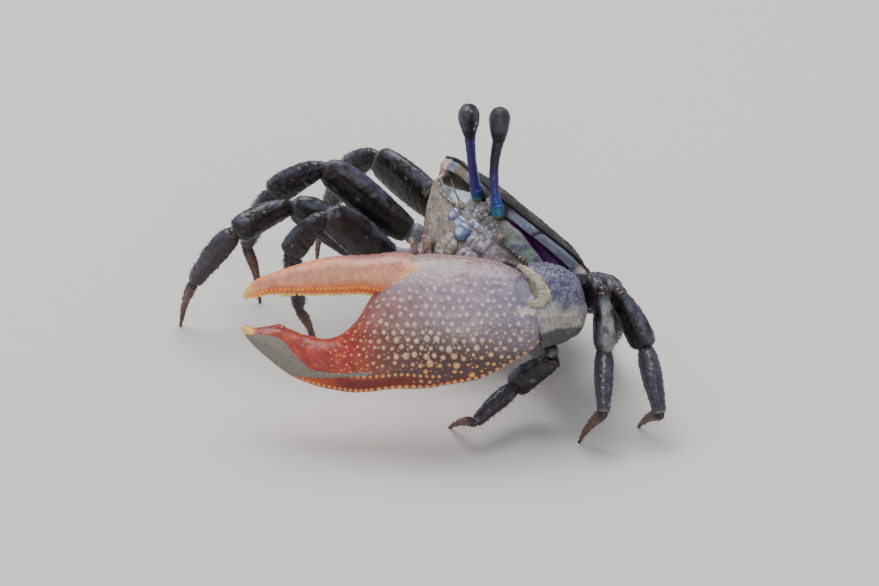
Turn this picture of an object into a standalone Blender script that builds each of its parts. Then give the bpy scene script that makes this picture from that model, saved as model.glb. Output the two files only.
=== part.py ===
import math

import bmesh
import bpy
import numpy as np

# Overall size, millimetres
CW = 34.0
GAP = 0.3

# Middle of the trunk, from the middle of the footprint, millimetres
BODY_PLACE = (4.25, 21.04, 21.3)

# Posture of the trunk, degrees
FRONT_RAISED = 40.0
LEFT_SIDE_LOWERED = 19.0

# Direction the outer face of the big claw looks, degrees
CLAW_FACE_AZIMUTH = 34.0
CLAW_FACE_TILT = 28.0

# Carapace, in carapace widths
SHELL_BOTTOM = -0.065
SHELL_EDGE = -0.042
SHELL_RIM = 0.038
SHELL_DOME = 0.060
SHELL_FALL = 0.080
FLANK_FALL = 0.055
ORBIT_RADIUS = 0.050
ORBIT_INNER = (0.105, 0.282, -0.055)
ORBIT_OUTER = (0.455, 0.085, -0.060)

# Eyes, millimetres
STALK_LENGTH = 11.85
STALK_RADIUS = 0.74
EYE_LENGTH = 4.7
EYE_RADIUS = 1.50
STALK_BOW = {"left": 0.76, "right": 0.25}

# Foot of each eyestalk, in carapace widths to the left, forward and up
STALK_FOOT = {"left": (0.062, 0.322, -0.031), "right": (-0.092, 0.318, -0.026)}

# Mesh fineness
LEG_ROUND = 10
CLAW_ROUND = 24

# Raised grains and teeth of the big claw, millimetres
TUBERCLE_SPACING = 2.9
TUBERCLE_RADIUS = 0.55
TOOTH_RADIUS = 0.50

# Leg proportions, in carapace widths, from the hip outwards
SEGMENTS = ("merus", "carpus", "propodus", "dactyl")
LEG_LENGTHS = {
    2: (0.58, 0.25, 0.30, 0.25),
    3: (0.74, 0.29, 0.34, 0.30),
    4: (0.73, 0.29, 0.34, 0.30),
    5: (0.66, 0.25, 0.30, 0.26),
}
HIPS = {
    2: (0.23, 0.10, -0.35),
    3: (0.25, 0.00, -0.34),
    4: (0.26, -0.10, -0.27),
    5: (0.22, -0.21, -0.24),
}
LEG_STOUTNESS = {
    2: (1.0, 0.90, 0.80, 0.80),
    3: (1.0, 1.0, 1.0, 1.0),
    4: (1.0, 1.0, 1.0, 1.0),
    5: (1.08, 0.95, 0.90, 0.90),
}

# Sag of a thigh near its root, below the line from hip to knee, millimetres
THIGH_SAG = {("right", 2): 4.2, ("right", 3): 4.6, ("right", 4): 3.2}

# Each toe ends a little below the floor and is trimmed level with it
FOOT_LEVEL = -0.12

# Leg posture: turn forward of straight sideways, then rise above level, degrees
LEG_POSE = {
    ("right", 2): ((49, 23), (39, -50), (54, -98), (52, -105)),
    ("right", 3): ((30, 15), (57, -16), (27, -55), (-20, -78)),
    ("right", 4): ((25, 27), (23, -35), (5, -65), (13, -100)),
    ("right", 5): ((2, 29), (-5, -42), (-8, -66), (-9, -83)),
    ("left", 2): ((31, -4), (159, -40), (94, -11), (202, -30)),
    ("left", 3): ((18, 29), (47, -75), (57, -29), (19, -122)),
    ("left", 4): ((21, 27), (-2, -57), (41, -38), (31, -132)),
    ("left", 5): ((19, 25), (-130, -57), (-131, -46), (-130, -45)),
}

COLOURS = {
    "shell": (0.075, 0.070, 0.062),
    "underside": (0.36, 0.30, 0.27),
    "mouth": (0.40, 0.33, 0.36),
    "blue": (0.16, 0.27, 0.50),
    "stalk": (0.07, 0.05, 0.25),
    "eye": (0.035, 0.025, 0.035),
    "leg": (0.035, 0.030, 0.045),
    "shin": (0.085, 0.060, 0.085),
    "toe": (0.16, 0.065, 0.045),
    "wrist": (0.22, 0.23, 0.36),
    "palm": (0.34, 0.24, 0.26),
    "finger": (0.62, 0.28, 0.15),
    "small_claw": (0.25, 0.19, 0.16),
}


def clear_scene():
    for obj in list(bpy.data.objects):
        bpy.data.objects.remove(obj)
    for group in list(bpy.data.collections):
        bpy.data.collections.remove(group)


def new_collection(name, hidden=False):
    group = bpy.data.collections.new(name)
    bpy.context.scene.collection.children.link(group)
    group.hide_render = hidden
    return group


clear_scene()
PARTS = new_collection("fiddler_crab")
CUTTERS = new_collection("cutters", hidden=True)


def unit(v):
    v = np.asarray(v, float)
    return v / np.linalg.norm(v)


def posture():
    """Left, forward and upward axes of the raised trunk."""
    pitch = math.radians(FRONT_RAISED)
    roll = math.radians(LEFT_SIDE_LOWERED)
    forward = np.array([0.0, -math.cos(pitch), math.sin(pitch)])
    lifted = np.array([0.0, math.sin(pitch), math.cos(pitch)])
    left = np.array([math.cos(roll), 0.0, 0.0]) - lifted * math.sin(roll)
    up = lifted * math.cos(roll) + np.array([math.sin(roll), 0.0, 0.0])
    return left, forward, up


LEFT, FORWARD, UP = posture()
CENTRE = np.array(BODY_PLACE)


def on_body(left, forward, up):
    return CENTRE + CW * (left * LEFT + forward * FORWARD + up * UP)


def claw_axes():
    """Along the fingers, up the palm and out of its outer face."""
    a = math.radians(CLAW_FACE_AZIMUTH)
    e = math.radians(CLAW_FACE_TILT)
    along = np.array([-math.cos(a), -math.sin(a), 0.0])
    face = np.array([math.sin(a) * math.cos(e), -math.cos(a) * math.cos(e), math.sin(e)])
    up = np.array([-math.sin(a) * math.sin(e), math.cos(a) * math.sin(e), math.cos(e)])
    return along, up, face


ALONG, ACROSS, FACE = claw_axes()
WRIST = CENTRE + (19.67, -24.35, 0.5)
WRIST_JOINT = unit(ALONG * 12.5 - ACROSS * 2.6)


def on_claw(along, up, face):
    return WRIST + along * ALONG + up * ACROSS + face * FACE


def heading(side, turn, rise):
    a, b = math.radians(turn), math.radians(rise)
    sign = 1.0 if side == "left" else -1.0
    level = math.cos(b)
    return np.array([sign * math.cos(a) * level, -math.sin(a) * level, math.sin(b)])


def spread(knots, count):
    """Evenly spaced points on a smooth curve through the knots."""
    knots = np.asarray(knots, float)
    ends = np.vstack([2 * knots[0] - knots[1], knots, 2 * knots[-1] - knots[-2]])
    out = []
    for s in np.linspace(0, len(knots) - 1, count):
        i = min(int(s), len(knots) - 2)
        t = s - i
        a, b, c, d = ends[i:i + 4]
        cubic = 2 * b + (c - a) * t + (2 * a - 5 * b + 4 * c - d) * t ** 2
        out.append(0.5 * (cubic + (3 * b - a - 3 * c + d) * t ** 3))
    return np.array(out)


def along_profile(pairs, t):
    """Smooth value at t of a profile given as (position, value) pairs."""
    x = np.array([p[0] for p in pairs], float)
    y = np.array([p[1] for p in pairs], float)
    i = int(np.clip(np.searchsorted(x, t) - 1, 0, len(x) - 2))
    s = np.clip((t - x[i]) / (x[i + 1] - x[i]), 0.0, 1.0)
    slope = np.gradient(y, x)
    h = x[i + 1] - x[i]
    start = (1 + 2 * s) * (1 - s) ** 2 * y[i] + s * (1 - s) ** 2 * h * slope[i]
    return start + s ** 2 * (3 - 2 * s) * y[i + 1] + s ** 2 * (s - 1) * h * slope[i + 1]


def material(name, colour, roughness=0.45):
    made = bpy.data.materials.new(name)
    made.use_nodes = True
    shader = made.node_tree.nodes["Principled BSDF"]
    shader.inputs["Base Color"].default_value = (*colour, 1.0)
    shader.inputs["Roughness"].default_value = roughness
    made.diffuse_color = (*colour, 1.0)
    return made


def add_object(name, bm, colour, group):
    bmesh.ops.recalc_face_normals(bm, faces=bm.faces)
    mesh = bpy.data.meshes.new(name)
    bm.to_mesh(mesh)
    bm.free()
    obj = bpy.data.objects.new(name, mesh)
    group.objects.link(obj)
    if group is PARTS:
        mesh.materials.append(material(name, COLOURS[colour]))
    else:
        obj.hide_render = True
        obj.display_type = "WIRE"
    return obj


def skin(rings):
    """Closed surface over a row of rings, each capped by one flat face."""
    bm = bmesh.new()
    rows = [[bm.verts.new(np.asarray(p) * 0.001) for p in ring] for ring in rings]
    n = len(rows[0])
    for a, b in zip(rows[:-1], rows[1:]):
        for i in range(n):
            j = (i + 1) % n
            bm.faces.new((a[i], a[j], b[j], b[i]))
    bm.faces.new(rows[0])
    bm.faces.new(rows[-1])
    return bm


def trim(bm, point, normal):
    """Cuts away all beyond the plane and closes the cut flat."""
    everything = bm.verts[:] + bm.edges[:] + bm.faces[:]
    made = bmesh.ops.bisect_plane(
        bm,
        geom=everything,
        dist=1e-7,
        plane_co=np.asarray(point) * 0.001,
        plane_no=unit(normal),
        clear_outer=True,
    )
    edges = [e for e in made["geom_cut"] if isinstance(e, bmesh.types.BMEdge)]
    bmesh.ops.holes_fill(bm, edges=edges, sides=0)
    return bm


def tube(path, heights, widths, upright, start=None, end=None, count=LEG_ROUND, power=1.0):
    """Rings round a path, held inside the flat planes at its two ends."""
    path = np.asarray(path, float)
    last = len(path) - 1
    rings = []
    for i, p in enumerate(path):
        ahead = unit(path[min(i + 1, last)] - path[max(i - 1, 0)])
        high = unit(np.asarray(upright) - ahead * np.dot(upright, ahead))
        wide = np.cross(ahead, high)
        ring = []
        for k in range(count):
            angle = 2 * math.pi * (k + 0.5) / count
            c, s = math.cos(angle), math.sin(angle)
            c = math.copysign(abs(c) ** power, c)
            s = math.copysign(abs(s) ** power, s)
            q = p + high * heights[i] * c + wide * widths[i] * s
            for plane, step in ((start, i), (end, last - i)):
                if plane is None:
                    continue
                inside = np.dot(q - plane[0], plane[1])
                need = 0.06 * step
                if inside < need:
                    q = q + ahead * (need - inside) / np.dot(ahead, plane[1])
            ring.append(q)
        rings.append(ring)
    return skin(rings)


# Carapace

def front_edge(x):
    pairs = ((0, 0.325), (0.05, 0.315), (0.12, 0.272), (0.22, 0.222), (0.34, 0.155),
             (0.44, 0.098), (0.50, 0.066))
    return along_profile(pairs, abs(x))


def rear_edge(x):
    pairs = ((0, -0.370), (0.14, -0.368), (0.24, -0.345), (0.33, -0.285), (0.40, -0.195),
             (0.45, -0.100), (0.48, -0.020), (0.50, 0.045))
    return along_profile(pairs, abs(x))


def groove(x, f):
    """Depth of the furrows between the regions of the shell."""
    bend = 0.15 + 0.25 * (f + 0.05) ** 2
    beside = math.exp(-((abs(x) - bend) / 0.022) ** 2) * (1 if -0.26 < f < 0.16 else 0)
    across = math.exp(-((f + 0.07) / 0.020) ** 2) * (1 if abs(x) < 0.15 else 0)
    return 0.010 * max(beside, across)


def shell_top(x, f):
    a, b = rear_edge(x), front_edge(x)
    u = np.clip((2 * f - a - b) / max(b - a, 1e-6), -1, 1)
    rise = SHELL_DOME * (1 - (abs(x) / 0.505) ** 2.2) ** 0.75 * (1 - abs(u) ** 2.3) ** 0.62
    back = max(b - f, 0.0)
    fall = SHELL_FALL * (back / 0.695) ** 0.65
    droop = 0.030 * np.clip((abs(x) - 0.36) / 0.14, 0, 1) ** 2
    flank = FLANK_FALL * np.clip((abs(x) - 0.24) / 0.14, 0, 1) * np.clip(back / 0.20, 0, 1)
    return max(SHELL_RIM + rise - fall - droop - flank, SHELL_EDGE) - groove(x, f)


def shell_section(x):
    a, b = rear_edge(x), front_edge(x)
    top = [(a + (b - a) * s, 0) for s in 0.5 - 0.5 * np.cos(np.linspace(0, math.pi, 17))]
    ring = [on_body(x, f, shell_top(x, f)) for f, _ in top]
    for s in np.linspace(1, 0, 7):
        f = a + (b - a) * (0.015 + 0.97 * s)
        ring.append(on_body(x, f, SHELL_BOTTOM))
    return ring


def make_carapace():
    stations = 0.4985 * np.sin(np.linspace(-math.pi / 2, math.pi / 2, 31))
    shell = add_object("carapace", skin([shell_section(x) for x in stations]), "shell", PARTS)
    path = spread([on_body(0, 0.318, 0.025), on_body(0, 0.338, -0.04), on_body(0, 0.336, -0.115)], 6)
    sizes = np.array([0.9, 0.9, 0.8, 0.75, 0.7, 0.5])
    tongue = tube(path, sizes * 0.6, sizes * 1.3, FORWARD, count=10)
    fuse(shell, [add_object("front_tongue", tongue, None, CUTTERS)])
    return shell


def replace_mesh(obj):
    """Makes the result of the modifiers the object's own mesh."""
    bpy.context.view_layer.update()
    graph = bpy.context.evaluated_depsgraph_get()
    mesh = bpy.data.meshes.new_from_object(obj.evaluated_get(graph))
    obj.modifiers.clear()
    obj.data = mesh


def largest_shell(obj):
    """Leaves only the largest closed surface of the mesh."""
    bm = bmesh.new()
    bm.from_mesh(obj.data)
    todo, groups = set(bm.faces), []
    while todo:
        stack, group = [todo.pop()], []
        while stack:
            face = stack.pop()
            group.append(face)
            for edge in face.edges:
                for other in edge.link_faces:
                    if other in todo:
                        todo.remove(other)
                        stack.append(other)
        groups.append(group)
    groups.sort(key=len)
    small = [face for group in groups[:-1] for face in group]
    bmesh.ops.delete(bm, geom=small, context="FACES")
    bm.to_mesh(obj.data)
    bm.free()


def fuse(obj, pieces):
    """One Boolean union of the object with every piece, applied."""
    group = new_collection("fused", hidden=True)
    for piece in pieces:
        group.objects.link(piece)
    union = obj.modifiers.new("fuse", "BOOLEAN")
    union.operation = "UNION"
    union.operand_type = "COLLECTION"
    union.collection = group
    union.solver = "MANIFOLD"
    replace_mesh(obj)
    largest_shell(obj)
    for piece in pieces:
        bpy.data.objects.remove(piece)
    bpy.data.collections.remove(group)


def carve(obj, cutter):
    cut = obj.modifiers.new("cut_" + cutter.name, "BOOLEAN")
    cut.operation = "DIFFERENCE"
    cut.object = cutter
    cut.solver = "MANIFOLD"


# Underside of the trunk

def face_edge(x):
    """Front of the flat face, under the eyes and round the mouth."""
    pairs = ((0, 0.312), (0.06, 0.310), (0.12, 0.296), (0.18, 0.262), (0.26, 0.208),
             (0.36, 0.140), (0.44, 0.090), (0.50, 0.060))
    return along_profile(pairs, abs(x))


def keel(x):
    pairs = ((0, -0.410), (0.12, -0.410), (0.20, -0.402), (0.28, -0.375), (0.36, -0.325),
             (0.42, -0.260), (0.455, -0.200))
    return along_profile(pairs, abs(x))


def trunk_section(x):
    a, b, c, low = rear_edge(x), front_edge(x), face_edge(x), keel(x)
    top = SHELL_BOTTOM - GAP / CW
    deep = low - top
    knots = [
        (b - 0.020, top),
        (c - 0.006, top + 0.26 * deep),
        (c - 0.010, top + 0.52 * deep),
        (c - 0.040, top + 0.82 * deep),
        (c - 0.105, low),
        ((a + b) / 2, low - 0.004),
        (a + 0.130, low + 0.020),
        (a + 0.060, top + 0.72 * deep),
        (a + 0.025, top + 0.35 * deep),
        (a + 0.018, top),
    ]
    if b - a < 0.26:
        mid = (a + b) / 2
        knots = [(mid + (f - mid) * 0.92, z) for f, z in knots]
    ring = [on_body(x, f, z) for f, z in spread(knots, 22)]
    return ring


def make_trunk():
    stations = 0.45 * np.sin(np.linspace(-math.pi / 2, math.pi / 2, 27))
    trunk = add_object("trunk", skin([trunk_section(x) for x in stations]), "underside", PARTS)
    return trunk


def orbit_cutter(side):
    sign = 1 if side == "left" else -1
    inner = on_body(sign * ORBIT_INNER[0], ORBIT_INNER[1], ORBIT_INNER[2])
    outer = on_body(sign * ORBIT_OUTER[0], ORBIT_OUTER[1], ORBIT_OUTER[2])
    path = [inner + (outer - inner) * s for s in (0, 0.06, 0.3, 0.55, 0.8, 0.95, 1.0)]
    reach = CW * ORBIT_RADIUS
    high = reach * np.array([0.35, 0.75, 0.95, 1.0, 1.0, 0.8, 0.3])
    wide = reach * np.array([0.5, 1.0, 1.15, 1.2, 1.1, 0.8, 0.3])
    return add_object("orbit_" + side, tube(path, high, wide, UP, count=12), None, CUTTERS)


# Eyes

def stalk_base(side):
    return on_body(*STALK_FOOT[side])


def stalk_axis(side):
    if side == "left":
        return unit(0.99 * ACROSS + 0.135 * FACE)
    return unit(0.104 * ALONG + 0.825 * ACROSS + 0.555 * FACE)


def stalk_tube(side, swell):
    base, axis = stalk_base(side), stalk_axis(side)
    share = np.array([-0.10, -0.04, 0.04, 0.12, 0.35, 0.65, 0.88, 1.0])
    girth = np.array([0.75, 1.45, 1.75, 1.35, 1.0, 0.98, 1.15, 1.45]) * STALK_RADIUS + swell
    bow = STALK_BOW[side] * 4 * np.maximum(share, 0) * (1 - share)
    path = [base + axis * STALK_LENGTH * s + ALONG * b for s, b in zip(share, bow)]
    return tube(path, girth, girth, FORWARD, count=14)


def make_eye(side):
    add_object("eyestalk_" + side, stalk_tube(side, 0.0), "stalk", PARTS)
    base, axis = stalk_base(side), stalk_axis(side)
    start = base + axis * (STALK_LENGTH + GAP)
    share = np.array([0, 0.12, 0.30, 0.50, 0.70, 0.86, 0.96, 1.0])
    girth = np.array([0.62, 0.80, 0.98, 1.08, 1.0, 0.78, 0.45, 0.18]) * EYE_RADIUS
    path = [start + axis * EYE_LENGTH * s for s in share]
    add_object("eye_" + side, tube(path, girth * 1.05, girth, FORWARD, count=16), "eye", PARTS)


# Mouth, feelers and abdomen

def plate(centre, size, up_axis, out_axis, swell=0.0):
    """Rounded flat plate, size (height, width, thickness) halved, from rings up its height."""
    high, wide, thick = size
    side_axis = np.cross(up_axis, out_axis)
    rings = []
    for s in np.linspace(-1, 1, 9):
        round_off = max(0.25, math.sqrt(max(0.0, 1 - abs(s) ** 2.6)))
        half = wide * round_off + swell
        mid = centre + up_axis * (high + swell) * s
        depth = thick * max(0.5, round_off) + swell
        ring = []
        for k in range(12):
            angle = 2 * math.pi * (k + 0.5) / 12
            c = math.copysign(abs(math.cos(angle)) ** 0.7, math.cos(angle))
            ring.append(mid + side_axis * half * c + out_axis * depth * math.sin(angle))
        rings.append(ring)
    return skin(rings)


def inset(name, colour, shape, holders):
    """Adds a piece and cuts a pocket for it, one gap wider all round."""
    add_object(name, shape(0.0), colour, PARTS)
    pocket = add_object("pocket_" + name, shape(GAP), None, CUTTERS)
    for holder in holders:
        carve(holder, pocket)


def mouth_plate(sign, swell):
    out = unit(FORWARD - 0.12 * UP + sign * 0.22 * LEFT)
    along = unit(UP + 0.12 * FORWARD)
    centre = on_body(sign * 0.063, 0.306, -0.280)
    return plate(centre, (3.6, 1.85, 0.75), along, out, swell)


def epistome_plate(swell):
    out = unit(FORWARD - 0.05 * UP)
    return plate(on_body(0, 0.314, -0.142), (0.62, 1.9, 0.6), UP, out, swell)


def antenna_tube(sign, swell):
    root = on_body(sign * 0.125, 0.285, -0.118)
    aim = unit(sign * 0.62 * LEFT + 0.62 * FORWARD + 0.30 * UP)
    share = np.array([0, 0.08, 0.2, 0.32, 0.6, 1.0])
    girth = np.array([0.5, 0.62, 0.55, 0.36, 0.30, 0.25]) + swell
    path = [root + aim * 6.0 * s + UP * 0.8 * s * s for s in share]
    return tube(path, girth, girth, UP, start=(root - aim * swell, aim), count=8)


def make_mouth(holders):
    for side, sign in (("left", 1), ("right", -1)):
        inset("maxilliped_" + side, "mouth", lambda swell, sign=sign: mouth_plate(sign, swell), holders)
        inset("antenna_" + side, "mouth", lambda swell, sign=sign: antenna_tube(sign, swell), holders)
    inset("epistome", "blue", epistome_plate, holders)


def abdomen_tube(swell):
    knots = [(-0.362, -0.115), (-0.356, -0.190), (-0.326, -0.315), (-0.252, -0.395),
             (-0.022, -0.422), (0.130, -0.418)]
    path = [on_body(0, f, z) for f, z in spread(knots, 20)]
    share = np.linspace(0, 1, 20)
    ripple = 1 + 0.07 * np.cos(share * 2 * math.pi * 6.5)
    wide = np.interp(share, [0, 0.1, 0.45, 0.8, 1], [2.6, 3.3, 2.9, 1.9, 0.8]) * ripple
    thick = np.interp(share, [0, 0.1, 0.9, 1], [0.5, 0.7, 0.7, 0.5])
    return tube(path, wide + swell, thick + swell, LEFT, count=8)


# Walking legs

MERUS = ((0, 0.45), (0.12, 0.50), (0.29, 0.62), (0.41, 0.85), (0.61, 1.0), (0.82, 0.95),
         (0.95, 0.80), (1, 0.72))
CARPUS = ((0, 0.52), (0.18, 0.70), (0.50, 0.92), (0.85, 0.95), (1, 0.80))
PROPODUS = ((0, 0.60), (0.15, 0.80), (0.40, 0.86), (0.80, 0.66), (1, 0.52))
DACTYL = ((0, 0.44), (0.15, 0.48), (0.50, 0.31), (0.85, 0.17), (1, 0.13))
GIRTHS = {
    "merus": (MERUS, 3.05, 1.72, 0.50),
    "carpus": (CARPUS, 2.35, 1.80, 0.45),
    "propodus": (PROPODUS, 2.10, 1.95, 0.30),
    "dactyl": (DACTYL, 1.75, 1.45, 0.55),
}


def leg_points(side, number):
    sign = 1 if side == "left" else -1
    hip = HIPS[number]
    points = [on_body(sign * hip[0], hip[1], hip[2])]
    for index, (turn, rise) in enumerate(LEG_POSE[side, number]):
        length = LEG_LENGTHS[number][index] * CW
        if index == 3:
            reach = np.clip((FOOT_LEVEL - points[-1][2]) / length, -1, 1)
            level = math.degrees(math.asin(reach))
            rise = -180 - level if rise < -90 else level
        points.append(points[-1] + heading(side, turn, rise) * length)
    return points


def root_dip(s):
    """0 at both ends of a thigh and 1 a third of the way along."""
    return 6.75 * s * (1 - s) ** 2


def leg_segment(side, number, index, swell=0.0):
    points = leg_points(side, number)
    a, b = points[index], points[index + 1]
    ahead = unit(b - a)
    profile, high, wide, arch = GIRTHS[SEGMENTS[index]]
    stout = LEG_STOUTNESS[number][index]
    sag = THIGH_SAG.get((side, number), 0.0) if index == 0 else 0.0
    level = unit(np.cross(ahead, (0, 0, 1.0)) + 1e-6 * LEFT)
    over = unit(np.cross(level, ahead))
    if over[2] < 0:
        over = -over
    steps = 10 if index == 0 else 8
    share = np.linspace(0, 1, steps)
    girth = np.array([along_profile(profile, s) for s in share]) * stout
    bow = arch * 4 * share * (1 - share) - sag * root_dip(share)
    path = [a + (b - a) * s + over * h for s, h in zip(share, bow)]
    start = end = None
    if index > 0:
        before = unit(a - points[index - 1])
        normal = unit(before + ahead)
        start = (a + normal * GAP / 2, normal)
    else:
        outward = unit(path[1] - path[0])
        path[0] = a - outward * swell
        start = (path[0], outward)
    if index < 3:
        after = unit(points[index + 2] - b)
        normal = -unit(after + ahead)
        end = (b + normal * GAP / 2, normal)
    return tube(path, girth * high + swell, girth * wide + swell, over, start, end)


def make_leg(side, number, holders):
    for index, segment in enumerate(SEGMENTS):
        name = "leg_%d_%s_%s" % (number, side, segment)
        bm = leg_segment(side, number, index)
        if segment == "dactyl":
            trim(bm, (0, 0, 0), (0, 0, -1))
        colour = {"merus": "leg", "carpus": "leg", "propodus": "shin", "dactyl": "toe"}[segment]
        add_object(name, bm, colour, PARTS)
    cutter = leg_segment(side, number, 0, swell=GAP)
    hole = add_object("socket_%d_%s" % (number, side), cutter, None, CUTTERS)
    for holder in holders:
        carve(holder, hole)


# Big claw

PALM_TOP = ((-0.8, 3.6), (2.2, 5.5), (5.2, 7.0), (9.5, 8.1), (14.5, 8.5), (20.6, 8.3), (26.6, 2.0),
            (28.5, -1.0), (30.8, -3.2), (33.4, -4.3), (36.6, -3.8), (39.4, -2.95), (41.2, -2.5),
            (43.0, -2.75), (45.2, -2.9), (46.4, -2.5), (47.0, -2.7))
PALM_LOW = ((-0.8, -4.2), (1.5, -6.2), (4.8, -8.2), (9.6, -10.7), (15.8, -12.0), (22.2, -12.4),
            (30, -12.9), (38, -10.8), (43.6, -6.9), (46.0, -4.2), (47.0, -2.9))
PALM_THICK = ((-0.8, 2.7), (2.0, 4.2), (8, 5.4), (15, 5.8), (21, 5.3), (27, 3.6), (33, 2.6),
              (40, 2.1), (45, 1.2), (47.0, 0.6))
HINGE_TOP = (21.2, 8.6)
HINGE_LOW = (27.0, 2.4)


def palm_ring(x):
    """Outline of the palm or the fixed finger at one distance from the wrist."""
    high, low = along_profile(PALM_TOP, x), along_profile(PALM_LOW, x)
    thick = along_profile(PALM_THICK, x)
    mid, half = (high + low) / 2, (high - low) / 2
    ring = []
    for k in range(CLAW_ROUND):
        angle = 2 * math.pi * (k + 0.5) / CLAW_ROUND
        c, s = math.cos(angle), math.sin(angle)
        bulge = thick * (1.0 if s > 0 else 0.78)
        s = math.copysign(abs(s) ** 0.92, s)
        ring.append((x, mid + half * c, bulge * s))
    return ring


def palm_surface(x, up, side=1.0):
    """Depth of the outer (side 1) or inner (side -1) face of the palm."""
    high, low = along_profile(PALM_TOP, x), along_profile(PALM_LOW, x)
    c = np.clip((2 * up - high - low) / (high - low), -0.999, 0.999)
    bulge = along_profile(PALM_THICK, x) * (1.0 if side > 0 else -0.78)
    return bulge * (1 - c * c) ** (0.92 / 2)


def grain(place, out, radius, height, sides=6):
    """Blunt little cone standing on its place, its root sunk below it."""
    across = unit(np.cross(out, UP + 0.3 * LEFT))
    beside = np.cross(out, across)
    rings = []
    for level, share in ((-0.45 * radius, 1.1), (0.85 * height, 0.55)):
        turns = [2 * math.pi * k / sides for k in range(sides)]
        ring = [across * math.cos(t) + beside * math.sin(t) for t in turns]
        rings.append([place + out * level + radius * share * r for r in ring])
    return add_object("grain", skin(rings), None, CUTTERS)


def palm_grains():
    """Domed tubercles over the outer face, larger and sparser towards the lower margin."""
    grains = []
    rows = int(19 / (TUBERCLE_SPACING * 0.87))
    for row in range(rows):
        up = 6.6 - row * TUBERCLE_SPACING * 0.87
        for column in range(9):
            x = 1.6 + (column + 0.5 * (row % 2)) * TUBERCLE_SPACING
            high, low = along_profile(PALM_TOP, x), along_profile(PALM_LOW, x)
            if not low + 1.5 < up < high - 1.2 or x > 25.5 - 0.12 * (up + 12):
                continue
            face = palm_surface(x, up)
            place = on_claw(x, up, face)
            slope_x = (palm_surface(x + 0.5, up) - palm_surface(x - 0.5, up))
            slope_up = (palm_surface(x, up + 0.5) - palm_surface(x, up - 0.5))
            out = unit(FACE - slope_x * ALONG - slope_up * ACROSS)
            radius = TUBERCLE_RADIUS * (1.0 + 0.35 * np.clip(-up / 10, -0.6, 1))
            grains.append(grain(place, out, radius, 0.75 * radius))
    for x in np.arange(3.5, 25.0, 2.1):
        low = along_profile(PALM_LOW, x)
        out = unit(0.45 * FACE - ACROSS)
        place = on_claw(x, low + 0.35, palm_surface(x, low + 0.35))
        grains.append(grain(place, out, 0.55, 0.5))
    return grains


def claw_tube(stations, start):
    rings = []
    for i, x in enumerate(stations):
        ring = []
        for p in palm_ring(x):
            q = on_claw(*p)
            inside = np.dot(q - start, WRIST_JOINT)
            need = 0.06 * i
            if inside < need:
                q = q + ALONG * (need - inside) / np.dot(ALONG, WRIST_JOINT)
            ring.append(q)
        rings.append(ring)
    return skin(rings)


def finger_split():
    """Point and direction of the plane between the palm and its fixed finger."""
    low = on_claw(25.0, -12.5, 0)
    top = on_claw(28.6, -1.0, 0)
    return low, unit(np.cross(FACE, unit(top - low)))


def make_palm():
    stations = np.concatenate([np.linspace(-0.8, 20.6, 13), np.linspace(22.0, 33.0, 8)])
    bm = claw_tube(stations, on_claw(0.15, 0, 0))
    point, normal = finger_split()
    trim(bm, point - normal * GAP / 2, normal)
    palm = add_object("big_claw_palm", bm, "palm", PARTS)
    fuse(palm, palm_grains())


def fixed_finger_teeth():
    teeth = []
    for x in np.arange(30.4, 46.0, 1.5):
        high = along_profile(PALM_TOP, x)
        big = math.exp(-((x - 40.9) / 1.0) ** 2)
        out = unit(ACROSS + 0.25 * FACE)
        place = on_claw(x, high - 0.15, 0.3 * along_profile(PALM_THICK, x))
        teeth.append(grain(place, out, TOOTH_RADIUS * (1 + 0.4 * big), 0.5 + 0.5 * big))
    return teeth


def make_fixed_finger():
    stations = np.linspace(23.5, 47.0, 19)
    bm = claw_tube(stations, on_claw(0.15, 0, 0))
    point, normal = finger_split()
    trim(bm, point + normal * GAP / 2, -normal)
    finger = add_object("big_claw_fixed_finger", bm, "finger", PARTS)
    fuse(finger, fixed_finger_teeth())


# Middle line of the moving finger, as (along, up), then its half heights and half depths
FINGER_LINE = ((22.6, 5.2), (27.5, 5.6), (32.5, 5.45), (38.0, 4.8), (42.8, 4.0), (45.4, 2.9),
               (46.5, 1.7))
FINGER_HIGH = ((22.6, 3.9), (27.5, 2.95), (32.5, 2.85), (38.0, 2.25), (42.8, 1.40), (45.4, 0.95),
               (46.5, 0.40))
FINGER_THICK = ((22.6, 2.9), (27.5, 2.7), (36.0, 2.0), (43.5, 1.1), (46.5, 0.4))


def make_moving_finger():
    count = 20
    line = spread(FINGER_LINE, count)
    high = np.array([along_profile(FINGER_HIGH, x) for x, _ in line])
    thick = np.array([along_profile(FINGER_THICK, x) for x, _ in line])
    path = [on_claw(x, z, 0.2) for x, z in line]
    top, low = on_claw(*HINGE_TOP, 0), on_claw(*HINGE_LOW, 0)
    normal = unit(np.cross(FACE, unit(low - top)))
    if np.dot(normal, ALONG) < 0:
        normal = -normal
    start = (top + normal * GAP, normal)
    bm = tube(path, high, thick, ACROSS, start=start, count=16)
    finger = add_object("big_claw_finger", bm, "finger", PARTS)
    teeth = []
    for x in np.arange(28.2, 45.4, 1.6):
        middle = np.interp(x, line[:, 0], line[:, 1])
        big = math.exp(-((x - 39.7) / 1.0) ** 2)
        place = on_claw(x, middle - along_profile(FINGER_HIGH, x) + 0.15, 0.4)
        out = unit(0.25 * FACE - ACROSS)
        teeth.append(grain(place, out, TOOTH_RADIUS * (1 + 0.4 * big), 0.45 + 0.5 * big))
    fuse(finger, teeth)


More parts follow.
